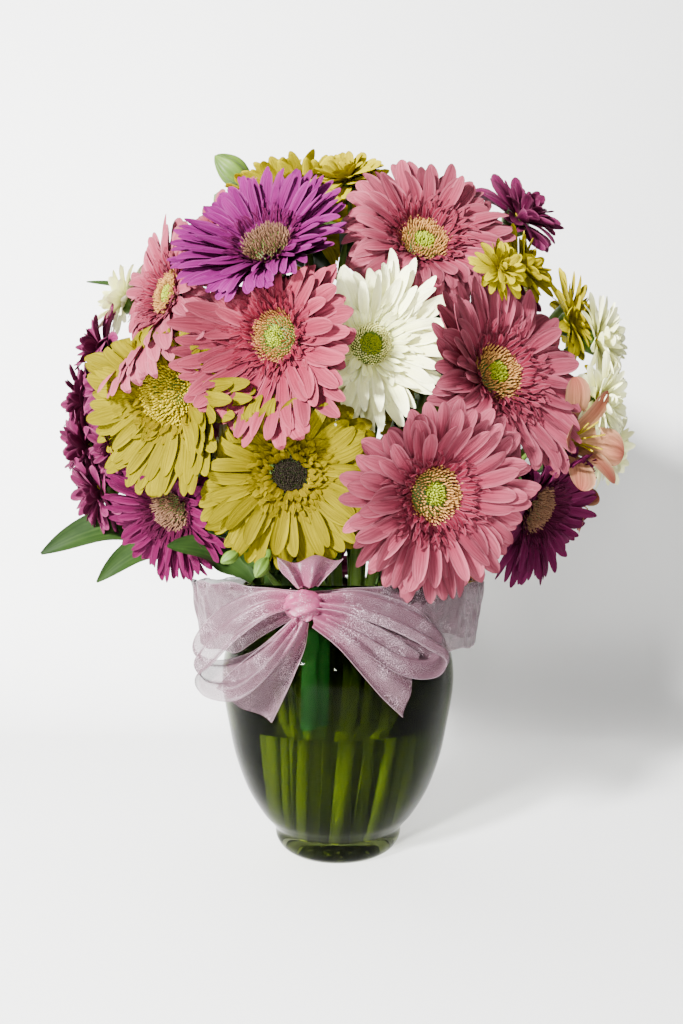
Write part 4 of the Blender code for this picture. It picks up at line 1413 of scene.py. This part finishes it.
def strip(stations, waves, phase, rows=81, columns=33):
    """A stretch of ribbon. Across it, waves of c push the cloth along its normal. Where the
    ribbon is W wide instead of its own width, the waves take up the rest: their slope is about
    twice the root of (own width / W - 1), and their depth is W x slope / (2 pi waves)."""
    middle = smooth_curve([spot for spot, _ in stations], rows) * MM
    half = smooth_curve([reach for _, reach in stations], rows) * MM
    wide = 2 * np.linalg.norm(half, axis=1)
    normal = unit(np.cross(half, np.gradient(middle, axis=0)))
    c = np.linspace(-1, 1, columns)
    slope = 2 * np.sqrt(np.clip(0.75 * (RIBBON_WIDTH / wide - 1), 0.01, 2.5))
    depth = wide * slope / (2 * np.pi * waves)
    wave = np.cos(np.pi * waves * c[None] + phase + 0.8 * np.linspace(0, 1, rows)[:, None])
    points = middle[:, None] + half[:, None] * c[:, None]
    return points + normal[:, None] * (depth[:, None] * wave)[..., None]


WAVES = (2.2, 2.0, 1.6, 1.3, 1.7)
for k, (node, stations) in enumerate(STRIPS.items()):
    points = strip(stations, WAVES[k], 0.9 * k)
    middle = points[:, points.shape[1] // 2]
    length = np.linalg.norm(np.diff(middle, axis=0), axis=1).sum()
    cloth(node.replace("ribbon", "bow"), node, points, length)

# %% [markdown]
# ### The knot
#
# The knot is the same ribbon pulled tight, too crumpled to draw as one strip. A ridged egg
# shows it just as well.

# %% Knot
KNOT_SIZE, KNOT_STEPS = np.array((10.5, 7.5, 7.5)) * MM, 48


def knot():
    """An egg whose surface is ridged lengthwise where the ribbon is pulled through: its
    radius grows and shrinks with the cosine of 7 and of 15 turns round the axis."""
    u = np.linspace(0, np.pi, 25)[:, None]
    v = np.arange(KNOT_STEPS)[None] * 2 * np.pi / KNOT_STEPS
    ridge = 1 + 0.16 * np.cos(7 * v + 2 * np.sin(u * 2)) + 0.06 * np.cos(15 * v + 3 * u)
    x, y, z = KNOT_SIZE[:, None, None] * np.array(
        [np.cos(u) * np.ones_like(v), np.sin(u) * np.cos(v) * ridge,
         np.sin(u) * np.sin(v) * ridge])
    grid = np.stack([x, y, z], -1)
    body = grid[1:-1].reshape(-1, 3)
    points = np.concatenate([grid[:1, 0], body, grid[-1:, 0]])
    rings = 1 + np.arange(len(body)).reshape(-1, KNOT_STEPS)
    turn = np.arctan2(points[:, 2], points[:, 1])
    points = points + KNOT
    uv = np.stack([0.5 + 0.05 * turn, points[:, 0] * 30], -1)
    tint = np.full((len(points), 4), 0.9)
    return points, ring_faces(points, rings, 0, len(points) - 1), uv, tint


knot_piece = new_piece("bow_knot", knot(), organza)
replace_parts(knot_piece, "ribbon_knot")
print("the knot has", len(knot_piece.data.polygons), "faces")

# %% [markdown]
# ## Stage
#
# The room is left out. A pale floor runs up into a pale wall in one bend, so no edge shows
# behind the vase. The wall is clear from behind, for a look at the back.

# %% Floor and wall
def sweep():
    """Floor, quarter-circle bend and wall as one strip, drawn along x."""
    bend = np.linspace(0, np.pi / 2, 17)
    far, back, radius = 1.2, 0.42, 0.12
    y = np.concatenate([[-far], back - radius + radius * np.sin(bend), [back]])
    z = np.concatenate([[0.0], radius - radius * np.cos(bend), [1.6]])
    x = np.linspace(-1.6, 1.6, 9)
    points = np.stack([np.repeat(x, len(y)), np.tile(y, len(x)), np.tile(z, len(x))], -1)
    return points, grid_quads(np.arange(len(points)).reshape(len(x), len(y)))


def stage_object():
    points, quads = sweep()
    mesh = bpy.data.meshes.new("sweep")
    mesh.from_pydata(points.tolist(), [], quads.tolist())
    mesh.shade_smooth()
    material, tree, shader = new_material("pale paper")
    back = add(tree, "ShaderNodeNewGeometry").outputs["Backfacing"]
    wire(tree, shader, {
        "Base Color": mix(tree, mottle(tree, 3.0), (0.82, 0.82, 0.81), (0.86, 0.86, 0.85)),
        "Roughness": 0.9,
        "Alpha": math(tree, "SUBTRACT", 1.0, back),
    })
    mesh.materials.append(material)
    obj = bpy.data.objects.new("sweep", mesh)
    bpy.context.scene.collection.objects.link(obj)
    return obj


stage_object()

# %% [markdown]
# ## Lights and camera
#
# The light comes from one strong panel at the front left, which throws a clear shadow. A weak
# panel overhead and a dim world, brighter in front and above, fill the shadows. A small lamp
# near the viewer puts a spark on the glass. The camera stands close, a little above the lip.


# %% Lights and camera
def lamp(name, place, target, size, power):
    """A round lamp of this size, turned towards the target."""
    light = bpy.data.lights.new(name, "AREA")
    light.shape = "DISK"
    light.size = size
    light.energy = power
    obj = bpy.data.objects.new(name, light)
    obj.location = place
    way = Vector(target) - Vector(place)
    obj.rotation_euler = way.to_track_quat("-Z", "Y").to_euler()
    bpy.context.scene.collection.objects.link(obj)


lamp("key", (-0.85, -1.15, 0.70), (0, 0, 0.28), 0.20, 172)
lamp("top", (0.0, -0.2, 1.9), (0, 0.1, 0.0), 1.3, 5)
lamp("flash", (-0.02, -0.56, 0.25), (0, 0, 0.25), 0.045, 1.3)

world = bpy.data.worlds.new("soft world")
world.use_nodes = True
tree = world.node_tree
way = add(tree, "ShaderNodeTexCoord").outputs["Generated"]
behind = remap(tree, part_of(tree, way, "Y"), (-0.75, 0.35))
high = remap(tree, part_of(tree, way, "Z"), (0.2, 0.9))
lit = math(tree, "MAXIMUM", behind, high)
dome = mix(tree, lit, (0.10, 0.10, 0.10), (1.0, 1.0, 0.98))
seen = add(tree, "ShaderNodeLightPath").outputs["Is Camera Ray"]
dome = mix(tree, seen, dome, (28.0, 28.0, 28.0))
wire(tree, tree.nodes["Background"], {"Color": dome, "Strength": 0.15})
bpy.context.scene.world = world

camera = bpy.data.objects.new("camera", bpy.data.cameras.new("camera"))
camera.location = (0.0023, -0.512, 0.184)
camera.rotation_euler = (np.radians(93.58), 0, 0)
camera.data.lens = 27
camera.data.clip_start = 0.01
bpy.context.scene.collection.objects.link(camera)
bpy.context.scene.camera = camera
print("camera at", tuple(camera.location))
